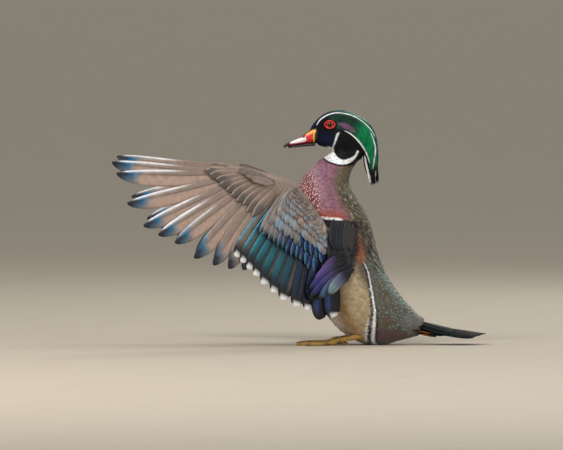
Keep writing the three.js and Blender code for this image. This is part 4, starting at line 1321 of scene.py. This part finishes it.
def eye_mesh(name, flip):
    """The ball with its red iris and black pupil; T is the angle from its outward axis."""
    rows, sides = 40, 48
    T, A = flat_grid(np.linspace(0.0, math.pi, rows), circle(sides))
    bulge = 1 + 0.05 * (1 - soft(T, 0.3, 0.8))
    around = EYE_FIRST * np.cos(A)[:, None] + EYE_SECOND * np.sin(A)[:, None]
    points = EYE + EYE_RADIUS * bulge[:, None] * (EYE_OUT * np.cos(T)[:, None] + around * np.sin(T)[:, None])
    colour = rows_of(len(T), (0.62, 0.012, 0.008))
    colour = paint(colour, (0.85, 0.06, 0.02), np.exp(-(((T - 0.62) / 0.12) ** 2)) * 0.7)
    colour = paint(colour, (0.004, 0.004, 0.005), 1 - soft(T, 0.62, 0.67))
    # Beyond the iris the ball is dark red: painted shade where the lids meet it.
    colour = paint(colour, (0.05, 0.004, 0.004), soft(T, 0.98, 1.1))
    uv = np.stack([A / (2 * math.pi), T / math.pi], -1)
    return sided_mesh(name, points, grid_faces(rows, sides, True)[:, ::-1], colour, uv, flip)


def lid_mesh(name, flip):
    """The swollen red ring round the eye, pointed at front and back."""
    steps, sides, tube, high = 72, 14, 0.7, 4.7
    forward = EYE_FIRST if EYE_FIRST[0] < 0 else -EYE_FIRST
    upward = np.cross(forward, EYE_OUT)
    upward = upward if upward[2] > 0 else -upward
    a, b = circle(steps), circle(sides)
    c, s = np.cos(a)[:, None], np.sin(a)[:, None]
    reach = 5.6 + 0.9 * np.clip(c, 0, 1) ** 6 + 0.3 * np.clip(-c, 0, 1) ** 6
    ring = forward * (c * reach) + upward * (s * high)
    back = 5.3 - np.sqrt(np.maximum(5.5**2 - np.minimum(np.linalg.norm(ring, axis=1), 5.3) ** 2, 0))
    ring = EYE + EYE_OUT * (5.0 - back * 0.55)[:, None] + ring
    out = unit(forward * (c / reach) + upward * (s / high))
    points = ring[:, None] + out[:, None] * (np.cos(b) * tube)[None, :, None]
    points = (points + EYE_OUT * (np.sin(b) * tube * 0.8)[None, :, None]).reshape(-1, 3)
    faces = grid_faces(steps + 1, sides, True) % (steps * sides)
    # The ring's inner side, towards the ball, is dark red: painted shade in the crease between lid and ball.
    inner = np.tile(soft(-np.cos(b), 0.2, 0.9), steps)
    colour = paint(rows_of(len(points), (0.66, 0.02, 0.012)), (0.12, 0.01, 0.01), inner * 0.8)
    uv = np.stack(flat_grid(a / (2 * math.pi), b / (2 * math.pi)), -1)
    return sided_mesh(name, points, faces, colour, uv, flip)


for label in ("left", "right"):
    place(eye_mesh("eyeball_" + label, label == "right"), ["eye_" + label], EYE_GLOSS)
    place(lid_mesh("eyelid_" + label, label == "right"), [], HORN)

for name in ("leg_left", "leg_right", "foot_left", "foot_right"):
    limb = make_mesh(name + "_skin", *welded(name))
    even = evened(limb, 0.6, 3)
    limb.modifiers.clear()
    limb.data = even
    even.polygons.foreach_set("use_smooth", np.ones(len(even.polygons), bool))
    place(limb, [name], LEG_SKIN)

# Camera, light and floor, in metres.
TARGET = Vector((-0.114, 0, 0.146))
DISTANCE = 11.45
ELEVATION = math.radians(1.6)


def stand(thing, location):
    """The thing at a place, turned to look at the target."""
    thing.location = location
    thing.rotation_euler = (TARGET - Vector(location)).to_track_quat("-Z", "Y").to_euler()
    bpy.context.scene.collection.objects.link(thing)


def add_camera():
    data = bpy.data.cameras.new("camera")
    data.lens = 600
    data.sensor_width = 36
    data.clip_end = 200
    camera = bpy.data.objects.new("camera", data)
    stand(camera, TARGET + Vector((0, -math.cos(ELEVATION), math.sin(ELEVATION))) * DISTANCE)
    bpy.context.scene.camera = camera


def add_light(name, energy, location, size, colour=(1, 1, 1)):
    data = bpy.data.lights.new(name, "AREA")
    data.energy = energy
    data.color = colour
    data.size = size
    stand(bpy.data.objects.new(name, data), location)


def add_world():
    world = bpy.data.worlds.new("sky")
    world.use_nodes = True
    background = world.node_tree.nodes["Background"]
    background.inputs[0].default_value = (0.62, 0.62, 0.6, 1)
    background.inputs[1].default_value = 0.75
    bpy.context.scene.world = world


def add_floor():
    data = bpy.data.meshes.new("floor")
    data.from_pydata([(-30, -14, 0), (30, -14, 0), (30, 160, 0), (-30, 160, 0)], [], [(0, 1, 2, 3)])
    floor = bpy.data.objects.new("floor", data)
    bpy.context.scene.collection.objects.link(floor)
    data.materials.append(floor_material())


add_camera()
add_light("key", 52, (-1.2, -1.6, 2.0), 1.2, (1.0, 0.97, 0.92))
add_light("fill", 18, (1.6, -1.8, 0.9), 1.6, (0.9, 0.95, 1.0))
add_light("rim", 16, (0.8, 1.6, 1.6), 1.0)
add_world()
add_floor()
bpy.context.scene.view_settings.view_transform = "Standard"
